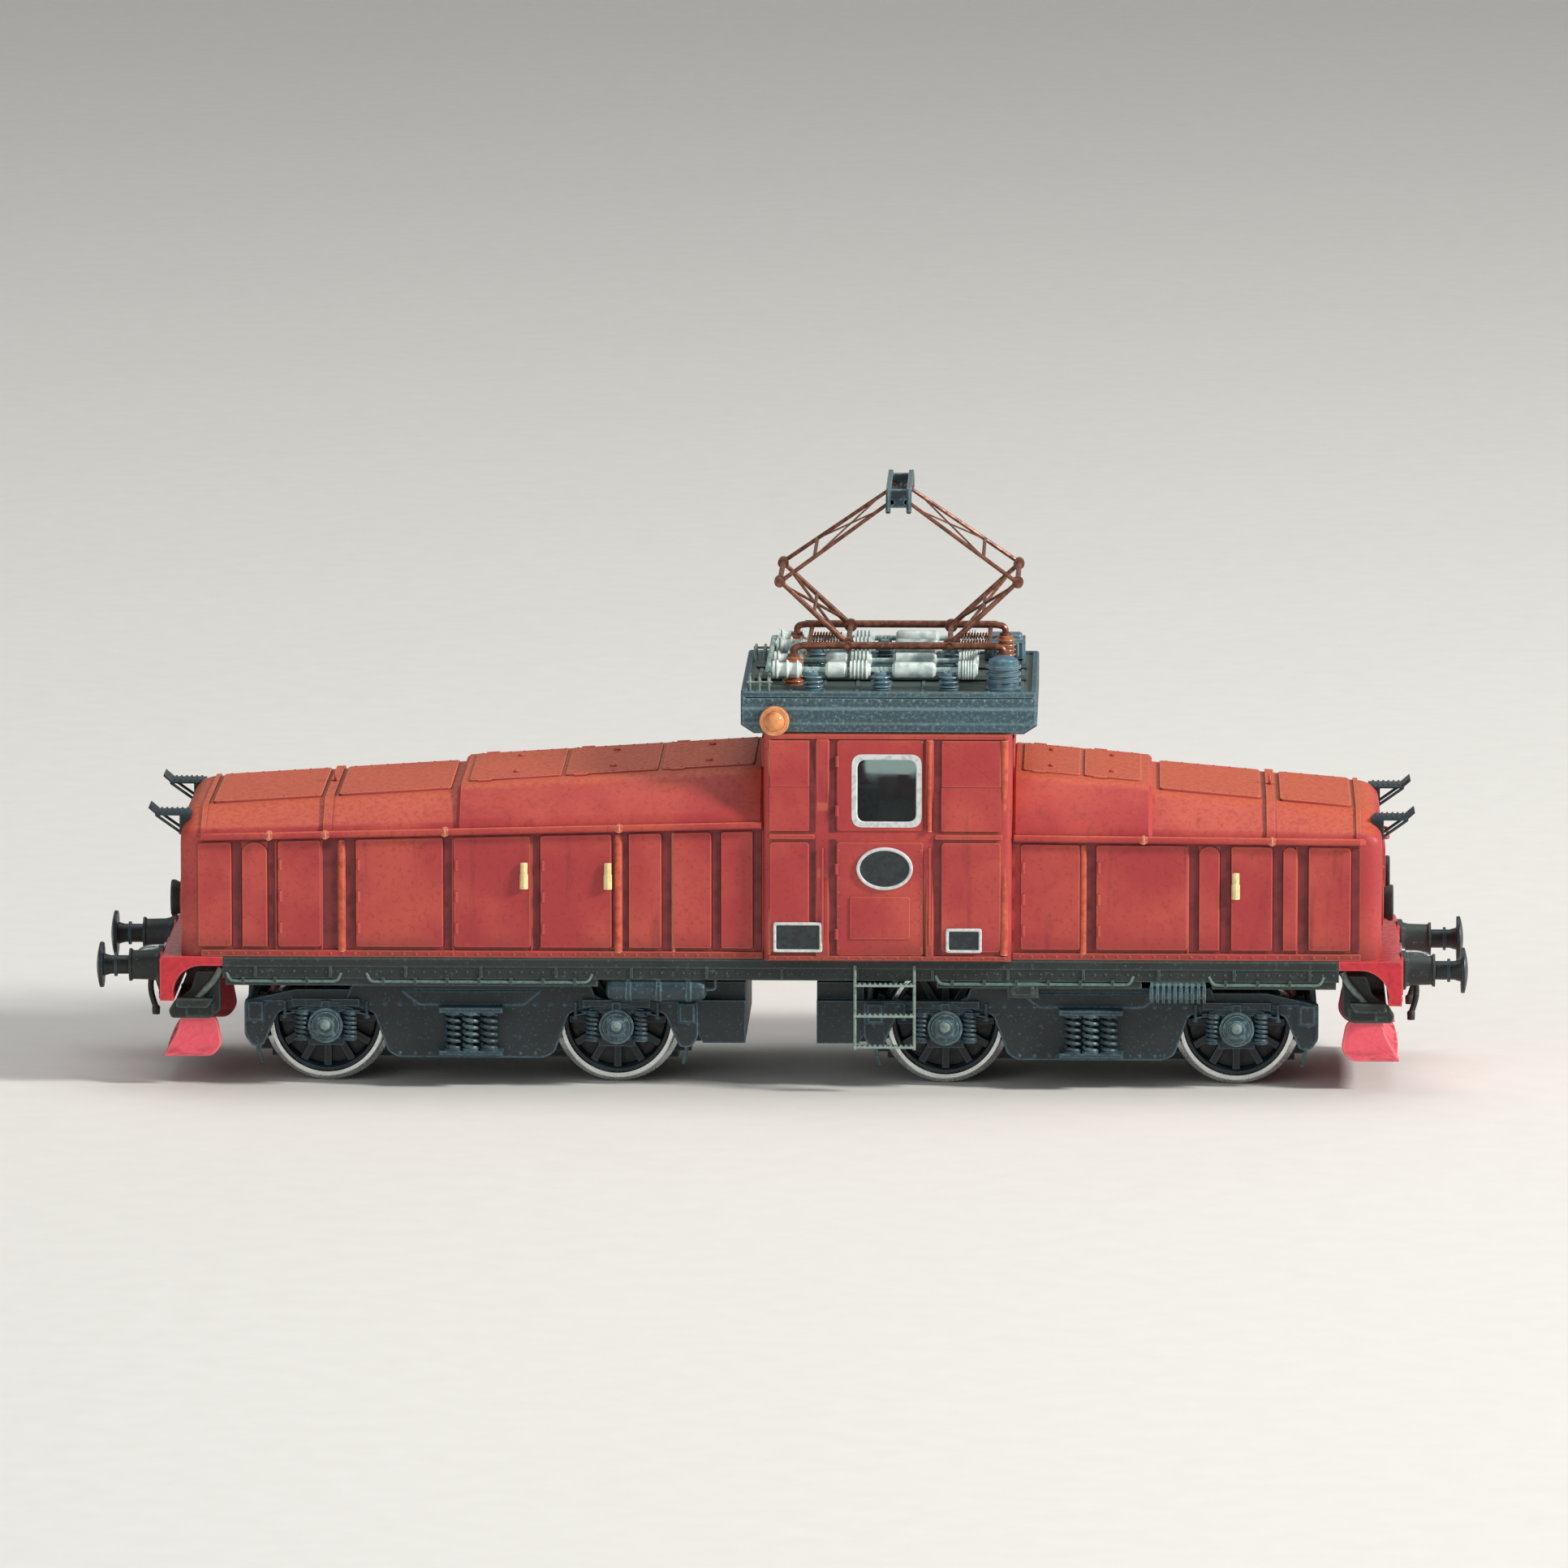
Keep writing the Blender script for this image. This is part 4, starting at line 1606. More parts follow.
def bogie_detail():
    """Axle box covers, springs, brake gear and sanding pipes of one side of a bogie, at x = 0."""
    parts, light, caps = [], [], []
    for x in (-AXLE_X, AXLE_X):
        caps.append(
            lathe(
                [(14.1, 0.0), (14.1, 0.52), (14.28, 0.5), (14.42, 0.3), (14.45, 0.0)], (x, 0, 7.1),
                "y", 20,
            )
        )
        for profile in (
            [
                (13.35, 0.0), (13.35, 1.55), (13.8, 1.5), (13.9, 1.2), (13.9, 0.95), (14.15, 0.85),
                (14.2, 0.0),
            ],
            barrel(13.3, 13.62, 1.85, 1.6),
        ):
            light.append(lathe(profile, (x, 0, 6.9), "y", 28))
        for a in np.radians([45, 135, 225, 315]):
            spot = (x + 1.05 * math.cos(a), 13.85, 6.9 + 1.05 * math.sin(a))
            light.append(dome(spot, 0.16, "y"))
        for dx in (-2.55, 2.55):
            parts.append(coil((x + dx, 12.95, 5.6), 0.62, 0.17, 2.7, 5.5))
            seat = [
                (5.3, 0.0), (5.3, 0.8), (5.55, 0.8), (5.65, 0.4), (8.2, 0.4), (8.3, 0.8), (8.55, 0.75),
                (8.65, 0.0),
            ]
            parts.append(lathe(seat, (x + dx, 12.95, 0), "z", 18))
        for leaf in range(5):
            reach = 4.4 - 0.75 * leaf
            line = np.linspace(-reach, reach, 13)
            up = 7.95 + 0.2 * leaf + 0.45 * (1 - (line / 4.4) ** 2)
            rings = []
            for dx, z in zip(line, up):
                rings.append(
                    [
                        (x + dx, 12.35, z), (x + dx, 13.15, z), (x + dx, 13.15, z + 0.15),
                        (x + dx, 12.35, z + 0.15),
                    ]
                )
            parts.append(carried(rings))
        parts.append(block((x - 0.5, 12.3, 7.9), (x + 0.5, 13.35, 9.55), 0.1))
        for dx in (-4.35, 4.35):
            parts.append(
                lathe(
                    [(7.6, 0.0), (7.6, 0.34), (7.9, 0.34), (7.9, 0.2), (9.4, 0.2), (9.4, 0.0)],
                    (x + dx, 12.75, 0), "z", 10,
                )
            )
    for dx in (-1.9, 0.0, 1.9):
        group = parts if dx else light
        group.append(coil((dx, 13.15, 4.5), 0.78, 0.2, 3.6, 5))
        group.append(
            lathe(
                [
                    (4.2, 0.0), (4.2, 0.95), (4.5, 0.95), (4.55, 0.35), (8.1, 0.35), (8.15, 0.95),
                    (8.45, 0.95), (8.45, 0.0),
                ],
                (dx, 13.15, 0),
                "z",
                20,
            )
        )
    plate = [
        (12.8, 11.2), (13.4, 9.5), (24.2, 9.5), (24.2, 5.6), (23.4, 4.5), (22.2, 4.5), (20.6, 8.1),
        (19.2, 8.6),
    ]
    plate += [(11.8, 8.6), (10.4, 8.1), (8.9, 3.9), (7.8, 3.3)]
    plate = [(-x, z) for x, z in plate] + plate[::-1]
    parts.append(slab(rounded_loop(plate, 0.4, 4), 11.3, 12.5, "y", 0.12, both=True))
    parts.append(block((-3.4, 12.35, 3.75), (3.4, 14.0, 4.3), 0.15))
    parts.append(block((-3.4, 12.35, 8.35), (3.4, 14.0, 8.95), 0.15))
    parts.append(
        slab(
            rounded_loop([(-7.5, 10.6), (7.5, 10.6), (5.6, 9.0), (-5.6, 9.0)], 0.4), 12.3, 12.65, "y",
            0.1,
        )
    )
    for way in (-1, 1):
        x = way * AXLE_X
        for sign in (-1, 1):
            line = arc_path((x, 8.4, 7.0), 6.95, -20, 22, "y", 9)
            if sign < 0:
                line = line * (-1, 1, 1) + (2 * x, 0, 0)
            out = unit(line - (x, 8.4, 7.0))
            across = np.array([0, 0.9, 0])
            rings = np.stack(
                [line - across, line + out * 0.75 - across, line + out * 0.75 + across, line + across],
                1,
            )
            parts.append(carried(rings))
            hanger = [
                (x + sign * 8.0, 10.75, 11.3), (x + sign * 8.15, 10.75, 8.0),
                (x + sign * 7.9, 10.75, 5.2),
            ]
            parts.append(bent_tube(hanger, 0.3, 0.6, 8))
            parts.append(lathe(barrel(9.2, 11.1, 0.25), (x + sign * 7.95, 0, 7.0), "y", 8))
    for way in (-1, 1):
        x = way * 23.0
        light.append(
            bent_tube(
                [
                    (x, 11.9, 9.2), (x + way * 0.2, 12.5, 7.4), (x - way * 0.2, 10.4, 3.4),
                    (x - way * 0.5, 9.2, 2.3),
                ],
                0.22,
                0.9,
                8,
            )
        )
        parts.append(block((x - 0.9, 12.0, 7.2), (x + 0.9, 12.9, 9.4), 0.2))
    for x in np.arange(-22.0, 22.5, 1.6):
        if min(abs(x - AXLE_X), abs(x + AXLE_X)) > 3.6 and abs(x) > 3.8:
            parts.append(dome((x, 12.5, 9.1), 0.17, "y"))
            if abs(x) < 8:
                parts.append(dome((x, 12.5, 3.8), 0.15, "y"))
    return [both_sides(joined(*group)) for group in (parts, light, caps)]


def make_bogie_details():
    """The same side detail on both bogies."""
    parts, light, caps = bogie_detail()
    for end, way in ENDS.items():
        piece(
            f"{end}_bogie_side_detail",
            [
                (skin.moved(x=way * BOGIE_X), stuff)
                for skin, stuff in ((parts, "bogie"), (light, "tank"), (caps, "step"))
            ],
            f"{end}_bogie",
        )


def gear_phase(node, middle):
    """Angle of a design gear's teeth, in its tooth pitch, from the tips of its mesh."""
    mesh = frame["nodes"][node].data
    points = np.empty(len(mesh.vertices) * 3)
    mesh.vertices.foreach_get("co", points)
    x, y, z = (points.reshape(-1, 3) * 1000 - middle).T
    tips = (np.abs(y) < 1.3) & (np.hypot(x, z) > 3.9)
    return float(np.angle(np.mean(np.exp(18j * np.arctan2(z, x)[tips]))))


def make_wheelsets():
    """Wheels with bright tyres and dark spoked centres, on their axle with its driven gear."""
    tyre = [
        (7.2, 5.6), (7.2, 6.85), (7.45, 7.0), (7.75, 6.9), (8.05, 6.42), (8.3, 6.32), (9.9, 6.22),
        (10.0, 6.1), (10.0, 5.72), (9.8, 5.6),
    ]
    hub = [(7.4, 0.0), (7.4, 2.2), (9.3, 1.9), (9.75, 1.6), (9.8, 1.0), (9.95, 0.95), (9.98, 0.0)]
    spokes = []
    for i in range(12):
        spoke = block((-0.42, 8.1, 1.4), (0.42, 9.35, 5.4), 0.12)
        spokes.append(spoke.turned("y", 30.0 * i))
    web = lathe(
        [(7.6, 1.5), (7.6, 5.7), (9.65, 5.7), (9.65, 5.3), (9.3, 5.1), (8.2, 5.0), (8.2, 1.5)],
        (0, 0, 0),
        "y",
        60,
    )
    wheel = both_sides(lathe(tyre, (0, 0, 0), "y", 72))
    dark = both_sides(joined(lathe(hub, (0, 0, 0), "y", 36), web, *spokes))
    axle = lathe(barrel(-7.6, 7.6, 1.0), (0, 0, 0), "y", 28)
    angle = np.linspace(0, 2 * math.pi, 18 * 8, endpoint=False)
    for n in (1, 2, 3, 4):
        middle = pivot(f"wheelset_{n}_spin")
        teeth = np.clip(np.cos(18 * angle - gear_phase(f"wheelset_{n}", middle)) * 1.5, -1, 1)
        radius = 3.55 + 0.43 * teeth
        outline = np.stack([radius * np.cos(angle), radius * np.sin(angle)], -1)
        gear = slab(outline, -1.2, 1.2, "y")
        parts = [(wheel, "rim"), (dark, "dark"), (axle, "steel"), (gear, "gear")]
        piece(
            f"wheelset_{n}_wheels",
            [(skin.moved(*middle), stuff) for skin, stuff in parts],
            f"wheelset_{n}_body",
            [f"wheelset_{n}"],
        )


# ---- roof gear -------------------------------------------------------------------------------

PANTO_X, ARM_BASE_Z, HEAD_TOP = 12.4, 47.2, 63.72


def ribbed(low, high, radius, sheds, core=0.62):
    """Insulator profile: a core with rounded sheds at even steps up it."""
    line = [(low, 0.0), (low, radius * 0.9), (low + 0.25, radius * 0.9)]
    for z in np.linspace(low + 0.45, high - 0.5, sheds):
        line += [
            (z - 0.12, radius * core), (z, radius), (z + 0.1, radius * 0.97), (z + 0.28, radius * core)
        ]
    return line + [(high - 0.15, radius * 0.7), (high, radius * 0.6), (high, 0.0)]


def make_roof_gear():
    """Ribbed insulators, busbars with their clamps, and the switchgear beside the pantograph."""
    brown = []
    for x in (-11.2, 11.2):
        for y in (-8.0, 8.0):
            brown.append(lathe(ribbed(DECK_Z, 46.04, 1.15, 5), (PANTO_X + x, y, 0), "z", 32))
    pale = []
    for x, y in ((3.4, BUS_Y), (10.6, BUS_Y), (17.8, BUS_Y), (3.4, INNER_BUS_Y), (17.8, INNER_BUS_Y)):
        pale.append(both_sides(lathe(ribbed(DECK_Z, 44.9, 1.1, 3), (x, y, 0), "z", 32)))
    piece(
        "shed_insulators",
        [(joined(*brown), "porcelain"), (joined(*pale), "pale_porcelain")],
        "locomotive_body",
        ["roof_insulators"],
    )
    low, high = extent("roof_conductors")
    bars = [both_sides(tube([(x, BUS_Y, BUS_Z) for x in np.linspace(-1.4, 20.3, 12)], 0.29, 12))]
    bars.append(tube([(-1.4, y, BUS_Z) for y in np.linspace(-BUS_Y, BUS_Y, 12)], 0.28, 12))
    bars.append(
        both_sides(tube([(x, INNER_BUS_Y, INNER_BUS_Z) for x in np.linspace(-1.4, 21.0, 12)], 0.32, 12))
    )
    for x in (3.4, 10.6, 17.8):
        clamp = joined(
            block((x - 0.45, 11.15, 44.86), (x + 0.45, 12.05, 45.05), 0.05),
            hoop((x, BUS_Y, BUS_Z), 0.33, 0.1, "x"),
        )
        bars.append(both_sides(clamp))
    for x in np.arange(-0.6, 20, 1.05):
        bars.append(both_sides(lathe(barrel(x, x + 0.3, 0.36, 0.28), (0, BUS_Y, BUS_Z), "x", 14)))
    bars = [skin.bent(lambda p: np.clip(p, low, high)) for skin in bars]
    beads = []
    for start_x, end_x, sheds in (
        (-0.9, 2.2, 3), (4.7, 7.0, 0), (7.3, 9.5, 4), (11.8, 16.4, 0), (18.8, 20.9, 5)
    ):
        line = ribbed(start_x, end_x, 1.05, sheds, 0.7) if sheds else [
            (start_x, 0.0), (start_x, 0.6), (start_x + 0.3, 0.85), (end_x - 0.3, 0.85), (end_x, 0.6),
            (end_x, 0.0),
        ]
        beads += [
            lathe(line, (0, y, z), "x", 28) for y, z in ((BUS_Y, BUS_Z), (INNER_BUS_Y, INNER_BUS_Z))
        ]
    beads = both_sides(joined(*beads))
    piece(
        "busbars",
        [(joined(*bars), "busbar"), (beads, "bead")],
        "locomotive_body",
        ["roof_conductors"],
    )

    drum = [(DECK_Z, 0.0), (DECK_Z, 1.9), (43.3, 1.9), (43.35, 1.65), (43.8, 1.6)]
    for z in (44.0, 44.7, 45.4):
        drum += [(z - 0.08, 1.55), (z, 1.86), (z + 0.25, 1.84), (z + 0.35, 1.55)]
    drum += [(46.0, 1.6), (46.3, 1.5), (46.6, 1.0), (46.74, 0.0)]
    gear = [lathe(drum, (23.6, -11.4, 0), "z", 44)]
    gear.append(block((21.35, 9.65, DECK_Z), (25.75, 13.35, 45.3), 0.3))
    gear.append(slab(rectangle(21.7, 25.4, 10.0, 13.0, 0.5), INNER_BUS_Z, 45.72, "z", 0.2))
    for x in np.arange(22.0, 25.2, 0.55):
        gear.append(block((x, 9.6, 43.5), (x + 0.25, 13.4, 44.9), 0.05))
    gear.append(block((9.05, -1.55, DECK_Z), (15.75, 1.55, 44.0), 0.2))
    gear.append(lathe(barrel(9.6, 15.2, 0.55), (0, 0, 43.95), "x", 24))
    piece(
        "roof_switchgear", [(joined(*gear), "pale_porcelain")], "locomotive_body",
        ["main_breaker"],
    )


def helix(start, end, radius, wire, turns):
    """Spring between two points."""
    start, end = np.asarray(start, float), np.asarray(end, float)
    share = np.linspace(0, 1, int(turns * 12))[:, None]
    along = unit(end - start)
    across = unit(np.cross(along, (0.0, 1.0, 0.3)))
    up = np.cross(along, across)
    angle = share * turns * 2 * math.pi
    return tube(
        start + (end - start) * share + radius * (np.cos(angle) * across + np.sin(angle) * up), wire, 6
    )


def make_pantograph():
    """Pantograph: base frame with springs, two pairs of jointed arms, and the collector head."""
    sizes = bpy.context.scene.locomotive_sizes
    thick, thin = sizes.arm_tube * 1000, sizes.fine_tube * 1000
    low_pivot = {
        end: pivot(joint)
        for end, joint in (("front", "pantograph_raise"), ("rear", "rear_lower_arm_turn"))
    }
    knee = {end: pivot(f"{end}_upper_arm_turn") for end in ENDS}
    head = pivot("pantograph_head_level")

    base = []
    for y in (-8.0, 8.0):
        base.append(
            tube([(x, y, ARM_BASE_Z) for x in np.linspace(PANTO_X - 10.3, PANTO_X + 10.3, 8)], 0.4, 12)
        )
        for x in (-11.2, 11.2):
            foot = PANTO_X + x
            inner = PANTO_X + math.copysign(10.0, x)
            base.append(
                bent_tube([(inner, y, ARM_BASE_Z), (foot, y, 47.0), (foot, y, 46.06)], 0.36, 0.5, 10)
            )
            base.append(
                lathe([(46.05, 0.0), (46.05, 0.65), (46.3, 0.62), (46.35, 0.0)], (foot, y, 0), "z", 18)
            )
        for x in (-5.4, 5.4):
            base.append(
                lathe(barrel(y - 0.55, y + 0.55, 0.42, 0.36), (PANTO_X + x, 0, ARM_BASE_Z), "y", 18)
            )
    for x in (-9.6, 9.6):
        base.append(tube([(PANTO_X + x, y, 46.75) for y in np.linspace(-8.0, 8.0, 8)], 0.25, 10))
    for x in (-1, 1):
        for y in (-2.6, 2.6):
            base.append(
                helix((PANTO_X + x * 9.4, y, 46.75), (PANTO_X + x * 6.3, y, 46.75), 0.3, 0.09, 10)
            )
    box_low, box_high = extent("pantograph_base")
    base = joined(*base).bent(lambda p: np.clip(p, box_low, box_high))
    piece("pantograph_base_frame", [(base, "arm")], "locomotive_body", ["pantograph_base"])

    for end, way in ENDS.items():
        foot, joint = low_pivot[end], knee[end]
        lower = [tube([foot + (0, y, 0) for y in np.linspace(-8.5, 8.5, 9)], 0.29, 10)]
        lower.append(tube([joint + (0, y, 0) for y in np.linspace(-8.38, 8.38, 9)], 0.29, 10))
        for y in (-7.0, 7.0):
            side = np.array([0.0, y, 0.0])
            line = np.linspace(0, 1, 9)[:, None]
            radius = thick * (1.12 - 0.3 * line[:, 0])
            lower.append(tube(foot + side + (joint - foot) * line, radius, 12))
            for spot, big in ((foot, 0.7), (joint, 0.6)):
                lower.append(lathe(barrel(y - 0.38, y + 0.38, big), spot * (1, 0, 1), "y", 18))
        for a, b in ((0.12, 0.9), (0.9, 0.12)):
            first, last = (
                foot + (joint - foot) * a + (0, -6.9, 0), foot + (joint - foot) * b + (0, 6.9, 0)
            )
            lower.append(tube(np.linspace(first, last, 6), 0.17, 8))
        lower.append(
            tube(
                np.linspace(
                    foot + (joint - foot) * 0.5 + (0, -7, 0), foot + (joint - foot) * 0.5 + (0, 7, 0), 6
                ),
                0.2,
                8,
            )
        )
        piece(
            f"{end}_lower_arms", [(joined(*lower), "arm")], f"{end}_lower_arm_body",
            [f"{end}_lower_arm"],
        )

        top = np.array([PANTO_X + way * 0.8, 0.0, head[2]])
        upper = []
        for y in (-1, 1):
            foot_eye = joint + (0, y * 7.9, 0)
            top_eye = top + (0, y * 5.6, 0)
            line = np.linspace(0, 1, 9)[:, None]
            upper.append(
                tube(foot_eye + (top_eye - foot_eye) * line, thin * (1.1 - 0.15 * line[:, 0]), 10)
            )
            for spot, big, half in ((foot_eye, 0.55, 0.3), (top_eye, 0.5, 0.26)):
                c = spot[1]
                upper.append(lathe(barrel(c - half, c + half, big, 0.31), spot * (1, 0, 1), "y", 18))
        cross = joint + (top - joint) * (4.5 / np.linalg.norm(top - joint))
        width = 7.9 - 2.3 * 4.5 / 14.55
        upper.append(tube(np.linspace(cross + (0, -width, 0), cross + (0, width, 0), 6), 0.2, 8))
        near = joint + (top - joint) * 0.88
        for y in (-1, 1):
            a, b = cross + (0, y * width, 0), near + (0, -y * 5.8, 0)
            upper.append(tube(np.linspace(a, b, 6), 0.1, 8))
        piece(
            f"{end}_upper_arms", [(joined(*upper), "arm")], f"{end}_upper_arm_body",
            [f"{end}_upper_arm"],
        )

    low, high = extent("pantograph_head")
    metal, strips = [], []
    for x in (-0.8, 0.8):
        metal.append(tube([(PANTO_X + x, y, head[2]) for y in np.linspace(-6.7, 6.7, 8)], 0.27, 10))
    for y in (-6.5, 6.5):
        metal.append(
            slab(
                rounded_loop(
                    [
                        (PANTO_X - 1.3, 61.8), (PANTO_X + 1.3, 61.8), (PANTO_X + 1.35, 63.8),
                        (PANTO_X - 1.35, 63.8),
                    ],
                    0.4,
                ),
                y - 0.2,
                y + 0.2,
                "y",
                0.08,
                both=True,
            )
        )
    for x in (-1.1, 1.1):
        horn = [
            (PANTO_X + x, -10.3, 61.8), (PANTO_X + x, -8.6, HEAD_TOP), (PANTO_X + x, 8.6, HEAD_TOP),
            (PANTO_X + x, 10.3, 61.8),
        ]
        metal.append(bent_tube(horn, 0.27, 1.4, 12))
        strips.append(block((PANTO_X + x - 0.26, -7.4, 63.7), (PANTO_X + x + 0.26, 7.4, 64.04), 0.05))
    metal = joined(*metal).bent(lambda p: np.clip(p, low, high))
    piece(
        "collector_head", [(metal, "tank"), (joined(*strips), "tank")], "pantograph_head_body",
        ["pantograph_head"],
    )


# ---- finishes of the design's own pieces, and the stage --------------------------------------

KEPT = {
    "chassis": ("running_plate",),
    "bogie": ("front_bogie_frame", "rear_bogie_frame", "front_keeper_plate", "rear_keeper_plate"),
    "copper": ("front_pickups", "rear_pickups"),
    "gear": (
        "front_centre_gear", "rear_centre_gear", "front_idler_1", "front_idler_2", "rear_idler_1",
        "rear_idler_2",
    ),
    "brass": ("flywheels", "front_worm", "rear_worm"),
    "steel": ("motor", "rotor_shaft", "body_screws"),
    "rubber": ("drive_couplings",),
    "zinc": ("chassis_block",),
    "board": ("circuit_board",),
    "inside": ("cab_interior",),
    "clear": ("cab_glazing",),
}


def finish_kept_pieces():
    """Puts a detailed finish on every design node that stays as it is."""
    for stuff, names in KEPT.items():
        for name in names:
            node = frame["nodes"][name]
            for slot in node.material_slots:
                slot.material = STUFF[stuff]


def plain_surface(name, code, grain_m):
    """Matt paper for the floor, with a barely visible tooth."""
    made = bpy.data.materials.new(name)
    made.use_nodes = True
    tree = made.node_tree
    skin = tree.nodes["Principled BSDF"]
    skin.inputs["Roughness"].default_value = 0.9
    tooth = add(tree, "noise", add(tree, "place"), 1 / grain_m)
    tone = add(tree, "mix", tooth, linear(code), linear("E9E7E2"))
    tree.links.new(tone, skin.inputs["Base Color"])
    return made


def soft_lamp(name, spot, size, watts, tint):
    """Square soft lamp that shines at the middle of the locomotive."""
    lamp = bpy.data.lights.new(name, "AREA")
    lamp.shape = "RECTANGLE"
    lamp.size, lamp.size_y = size
    lamp.energy = watts
    lamp.color = tint
    made = bpy.data.objects.new(name, lamp)
    bpy.context.scene.collection.objects.link(made)
    aim(made, spot, (0.0, 0.0, 0.03))


def aim(made, spot, target):
    """Stands a lamp or camera at a spot with its -Z towards a target."""
    back = unit(np.array(spot, float) - np.array(target, float))
    right = unit(np.cross((0.0, 0.0, 1.0), back))
    up = np.cross(back, right)
    turn = Matrix(np.stack([right, up, back], axis=-1).tolist())
    made.matrix_world = Matrix.LocRotScale(spot, turn.to_quaternion(), None)


def make_stage():
    """Pale floor that curves up behind, soft lamps from the upper right, and the camera."""
    scene = bpy.context.scene
    run, turn = np.linspace(-2.5, 1.6, 24), np.linspace(0, math.pi / 2, 14)
    profile = [(y, 0.0) for y in run]
    profile += [(1.6 + 0.8 * math.sin(a), 0.8 * (1 - math.cos(a))) for a in turn[1:]]
    profile += [(2.4, z) for z in np.linspace(1.2, 3.5, 6)]
    profile = np.array(profile)
    across = np.linspace(-4, 4, 20)
    grid = np.zeros((len(across), len(profile), 3))
    grid[..., 0] = across[:, None]
    grid[..., 1:] = profile
    mesh = bpy.data.meshes.new("studio_sweep")
    faces = grid_quads(len(across), len(profile))
    mesh.from_pydata(grid.reshape(-1, 3).tolist(), [], faces.tolist())
    mesh.shade_smooth()
    mesh.materials.append(plain_surface("matt_backdrop_paper", "F0EEEA", 0.004))
    floor = bpy.data.objects.new("studio_sweep", mesh)
    scene.collection.objects.link(floor)

    soft_lamp("key_lamp", (1.15, -0.43, 0.7), (0.2, 0.2), 19.5, (1.0, 0.97, 0.93))
    soft_lamp("fill_lamp", (-0.7, -1.1, 0.45), (0.9, 0.7), 2.9, (0.93, 0.97, 1.0))
    soft_lamp("top_lamp", (0.1, 0.15, 1.0), (0.9, 0.5), 3.0, (1.0, 1.0, 1.0))
    world = bpy.data.worlds.new("studio_air")
    world.use_nodes = True
    world.node_tree.nodes["Background"].inputs["Color"].default_value = linear("E8ECEE")
    world.node_tree.nodes["Background"].inputs["Strength"].default_value = 0.3
    scene.world = world

    camera = bpy.data.cameras.new("side_camera")
    camera.lens = 300
    camera.sensor_width = 36
    camera.clip_end = 20
    eye = bpy.data.objects.new("side_camera", camera)
    scene.collection.objects.link(eye)
    middle = np.array([0.0, 0.0, 0.031])
    azimuth, rise, far = math.radians(1.5), math.radians(9), 1.4
    back = np.array(
        [math.sin(azimuth) * math.cos(rise), -math.cos(azimuth) * math.cos(rise), math.sin(rise)]
    )
    aim(eye, middle + far * back, middle)
    scene.camera = eye
    scene.view_settings.view_transform = "Standard"


# ---- the add-on ------------------------------------------------------------------------------


def done(step):
    """Runs one step of the build, and reports it to Blender as finished."""
    step()
    return {"FINISHED"}


class LOCO_OT_finishes(bpy.types.Operator):
    """Makes every paint, metal, plastic and glass"""

    bl_idname = "loco.finishes"
    bl_label = "Finishes"

    def execute(self, context):
        return done(finishes)


class LOCO_OT_hoods(bpy.types.Operator):
    """Builds both hood shells with their doors, ribs, straps and nose fittings"""

    bl_idname = "loco.hoods"
    bl_label = "Hoods"

    def execute(self, context):
        return done(make_hoods)


class LOCO_OT_hatches(bpy.types.Operator):
    """Builds the raised hatches beside the cab"""

    bl_idname = "loco.hatches"
    bl_label = "Hatches"

    def execute(self, context):
        return done(make_hatches)


class LOCO_OT_cab(bpy.types.Operator):
    """Builds the cab with its doors, panels and window frames"""

    bl_idname = "loco.cab"
    bl_label = "Cab"

    def execute(self, context):
        return done(make_cab)


class LOCO_OT_roof(bpy.types.Operator):
    """Builds the cab roof with its walkboards and end rails"""

    bl_idname = "loco.roof"
    bl_label = "Cab roof"

    def execute(self, context):
        return done(make_roof)


class LOCO_OT_side_fittings(bpy.types.Operator):
    """Builds the blank plates, door levers, shoulder rails and marker lamps"""

    bl_idname = "loco.side_fittings"
    bl_label = "Side fittings"

    def execute(self, context):
        return done(make_side_fittings)


class LOCO_OT_noses(bpy.types.Operator):
    """Builds the headlights and the footboards on the noses"""

    bl_idname = "loco.noses"
    bl_label = "Headlights and footboards"

    def execute(self, context):
        return done(make_noses)


class LOCO_OT_ends(bpy.types.Operator):
    """Builds the buffer beams, buffers, coupling hooks and hoses"""

    bl_idname = "loco.ends"
    bl_label = "Beams and buffers"

    def execute(self, context):
        return done(make_ends)


class LOCO_OT_ploughs(bpy.types.Operator):
    """Builds the snow ploughs"""

    bl_idname = "loco.ploughs"
    bl_label = "Snow ploughs"

    def execute(self, context):
        return done(make_ploughs)


class LOCO_OT_underframe(bpy.types.Operator):
    """Builds the ladders, reservoirs, resistors, pipes and frame trim"""

    bl_idname = "loco.underframe"
    bl_label = "Underframe"

    def execute(self, context):
        return done(make_underframe)


class LOCO_OT_bogies(bpy.types.Operator):
    """Builds the springs, axle box covers, brakes and sand pipes of both bogies"""

    bl_idname = "loco.bogies"
    bl_label = "Bogie detail"

    def execute(self, context):
        return done(make_bogie_details)


class LOCO_OT_wheelsets(bpy.types.Operator):
    """Builds the four wheel sets with their driven gears"""

    bl_idname = "loco.wheelsets"
    bl_label = "Wheel sets"

    def execute(self, context):
        return done(make_wheelsets)


class LOCO_OT_roof_gear(bpy.types.Operator):
    """Builds the insulators, busbars and switchgear on the roof"""

    bl_idname = "loco.roof_gear"
    bl_label = "Roof gear"

    def execute(self, context):
        return done(make_roof_gear)


class LOCO_OT_pantograph(bpy.types.Operator):
    """Builds the pantograph's base, arms and collector head"""

    bl_idname = "loco.pantograph"
    bl_label = "Pantograph"

    def execute(self, context):
        return done(make_pantograph)


class LOCO_OT_kept_pieces(bpy.types.Operator):
    """Finishes the pieces that keep the design's own shape"""

    bl_idname = "loco.kept_pieces"
    bl_label = "Kept pieces"

    def execute(self, context):
        return done(finish_kept_pieces)


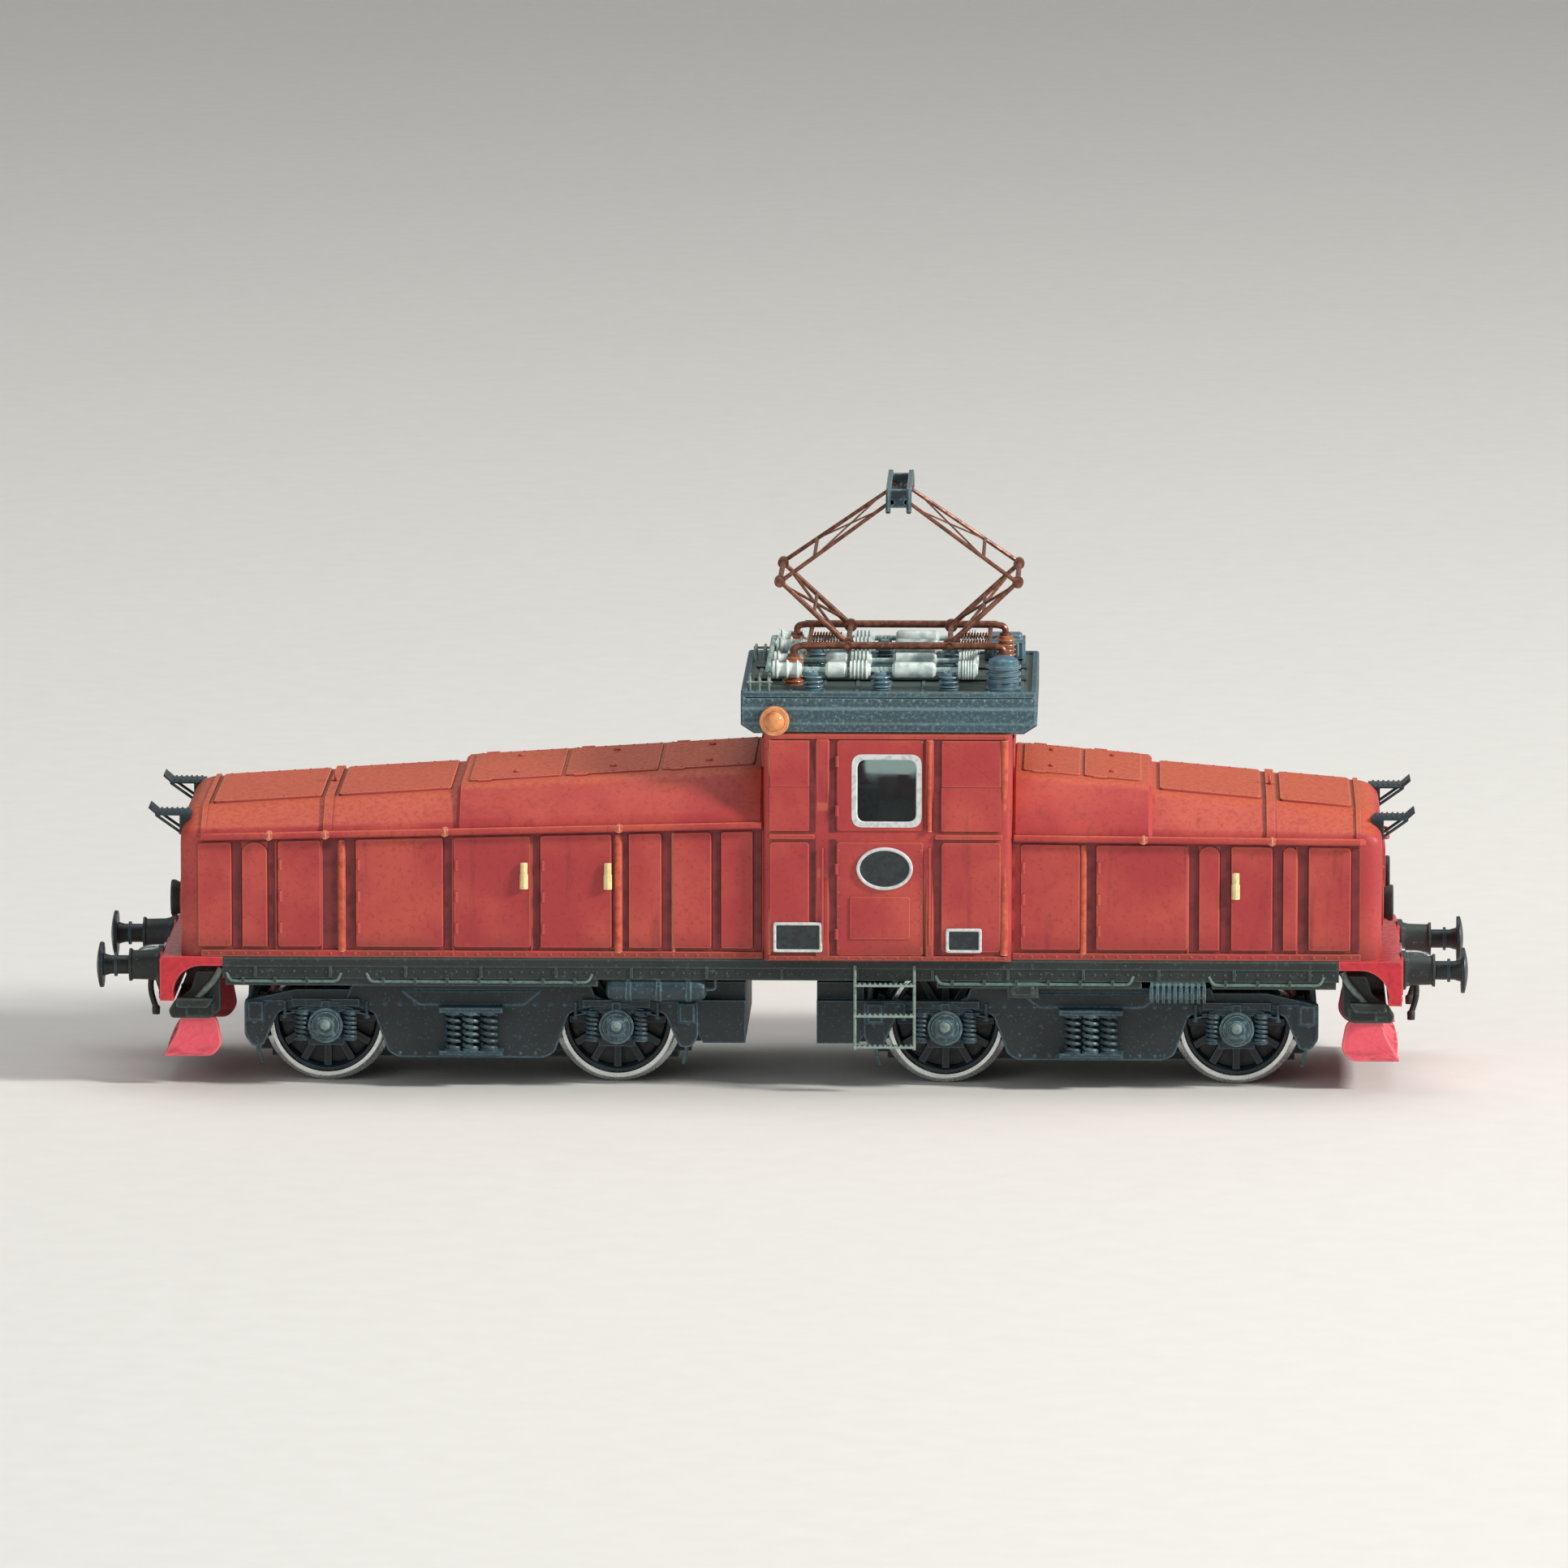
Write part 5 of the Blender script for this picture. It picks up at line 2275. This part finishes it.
class LOCO_OT_stage(bpy.types.Operator):
    """Sets up the floor, lamps and camera"""

    bl_idname = "loco.stage"
    bl_label = "Stage"

    def execute(self, context):
        return done(make_stage)


STEPS = (
    LOCO_OT_finishes, LOCO_OT_hoods, LOCO_OT_hatches, LOCO_OT_cab,
    LOCO_OT_roof, LOCO_OT_side_fittings, LOCO_OT_noses, LOCO_OT_ends,
    LOCO_OT_ploughs, LOCO_OT_underframe, LOCO_OT_bogies, LOCO_OT_wheelsets,
    LOCO_OT_roof_gear, LOCO_OT_pantograph, LOCO_OT_kept_pieces, LOCO_OT_stage,
)


class LOCO_PT_panel(bpy.types.Panel):
    """Sidebar panel with the sizes, the colours and a button for each step"""

    bl_idname = "LOCO_PT_panel"
    bl_label = "Locomotive"
    bl_space_type = "VIEW_3D"
    bl_region_type = "UI"
    bl_category = "Locomotive"

    def draw(self, context):
        layout = self.layout
        for title, group in (
            ("Sizes", context.scene.locomotive_sizes),
            ("Colours", context.scene.locomotive_colours),
        ):
            layout.label(text=title)
            for name in group.__annotations__:
                layout.prop(group, name)
        layout.label(text="Build")
        for step in STEPS:
            layout.operator(step.bl_idname)


CLASSES = (LocomotiveSizes, LocomotiveColours, *STEPS, LOCO_PT_panel)


def register():
    for item in CLASSES:
        bpy.utils.register_class(item)
    bpy.types.Scene.locomotive_sizes = bpy.props.PointerProperty(type=LocomotiveSizes)
    bpy.types.Scene.locomotive_colours = bpy.props.PointerProperty(type=LocomotiveColours)


def unregister():
    del bpy.types.Scene.locomotive_colours
    del bpy.types.Scene.locomotive_sizes
    for item in reversed(CLASSES):
        bpy.utils.unregister_class(item)


def main():
    register()
    bpy.ops.loco.finishes()
    bpy.ops.loco.hoods()
    bpy.ops.loco.hatches()
    bpy.ops.loco.cab()
    bpy.ops.loco.roof()
    bpy.ops.loco.side_fittings()
    bpy.ops.loco.noses()
    bpy.ops.loco.ends()
    bpy.ops.loco.ploughs()
    bpy.ops.loco.underframe()
    bpy.ops.loco.bogies()
    bpy.ops.loco.wheelsets()
    bpy.ops.loco.roof_gear()
    bpy.ops.loco.pantograph()
    bpy.ops.loco.kept_pieces()
    bpy.ops.loco.stage()


if __name__ == "__main__":
    main()
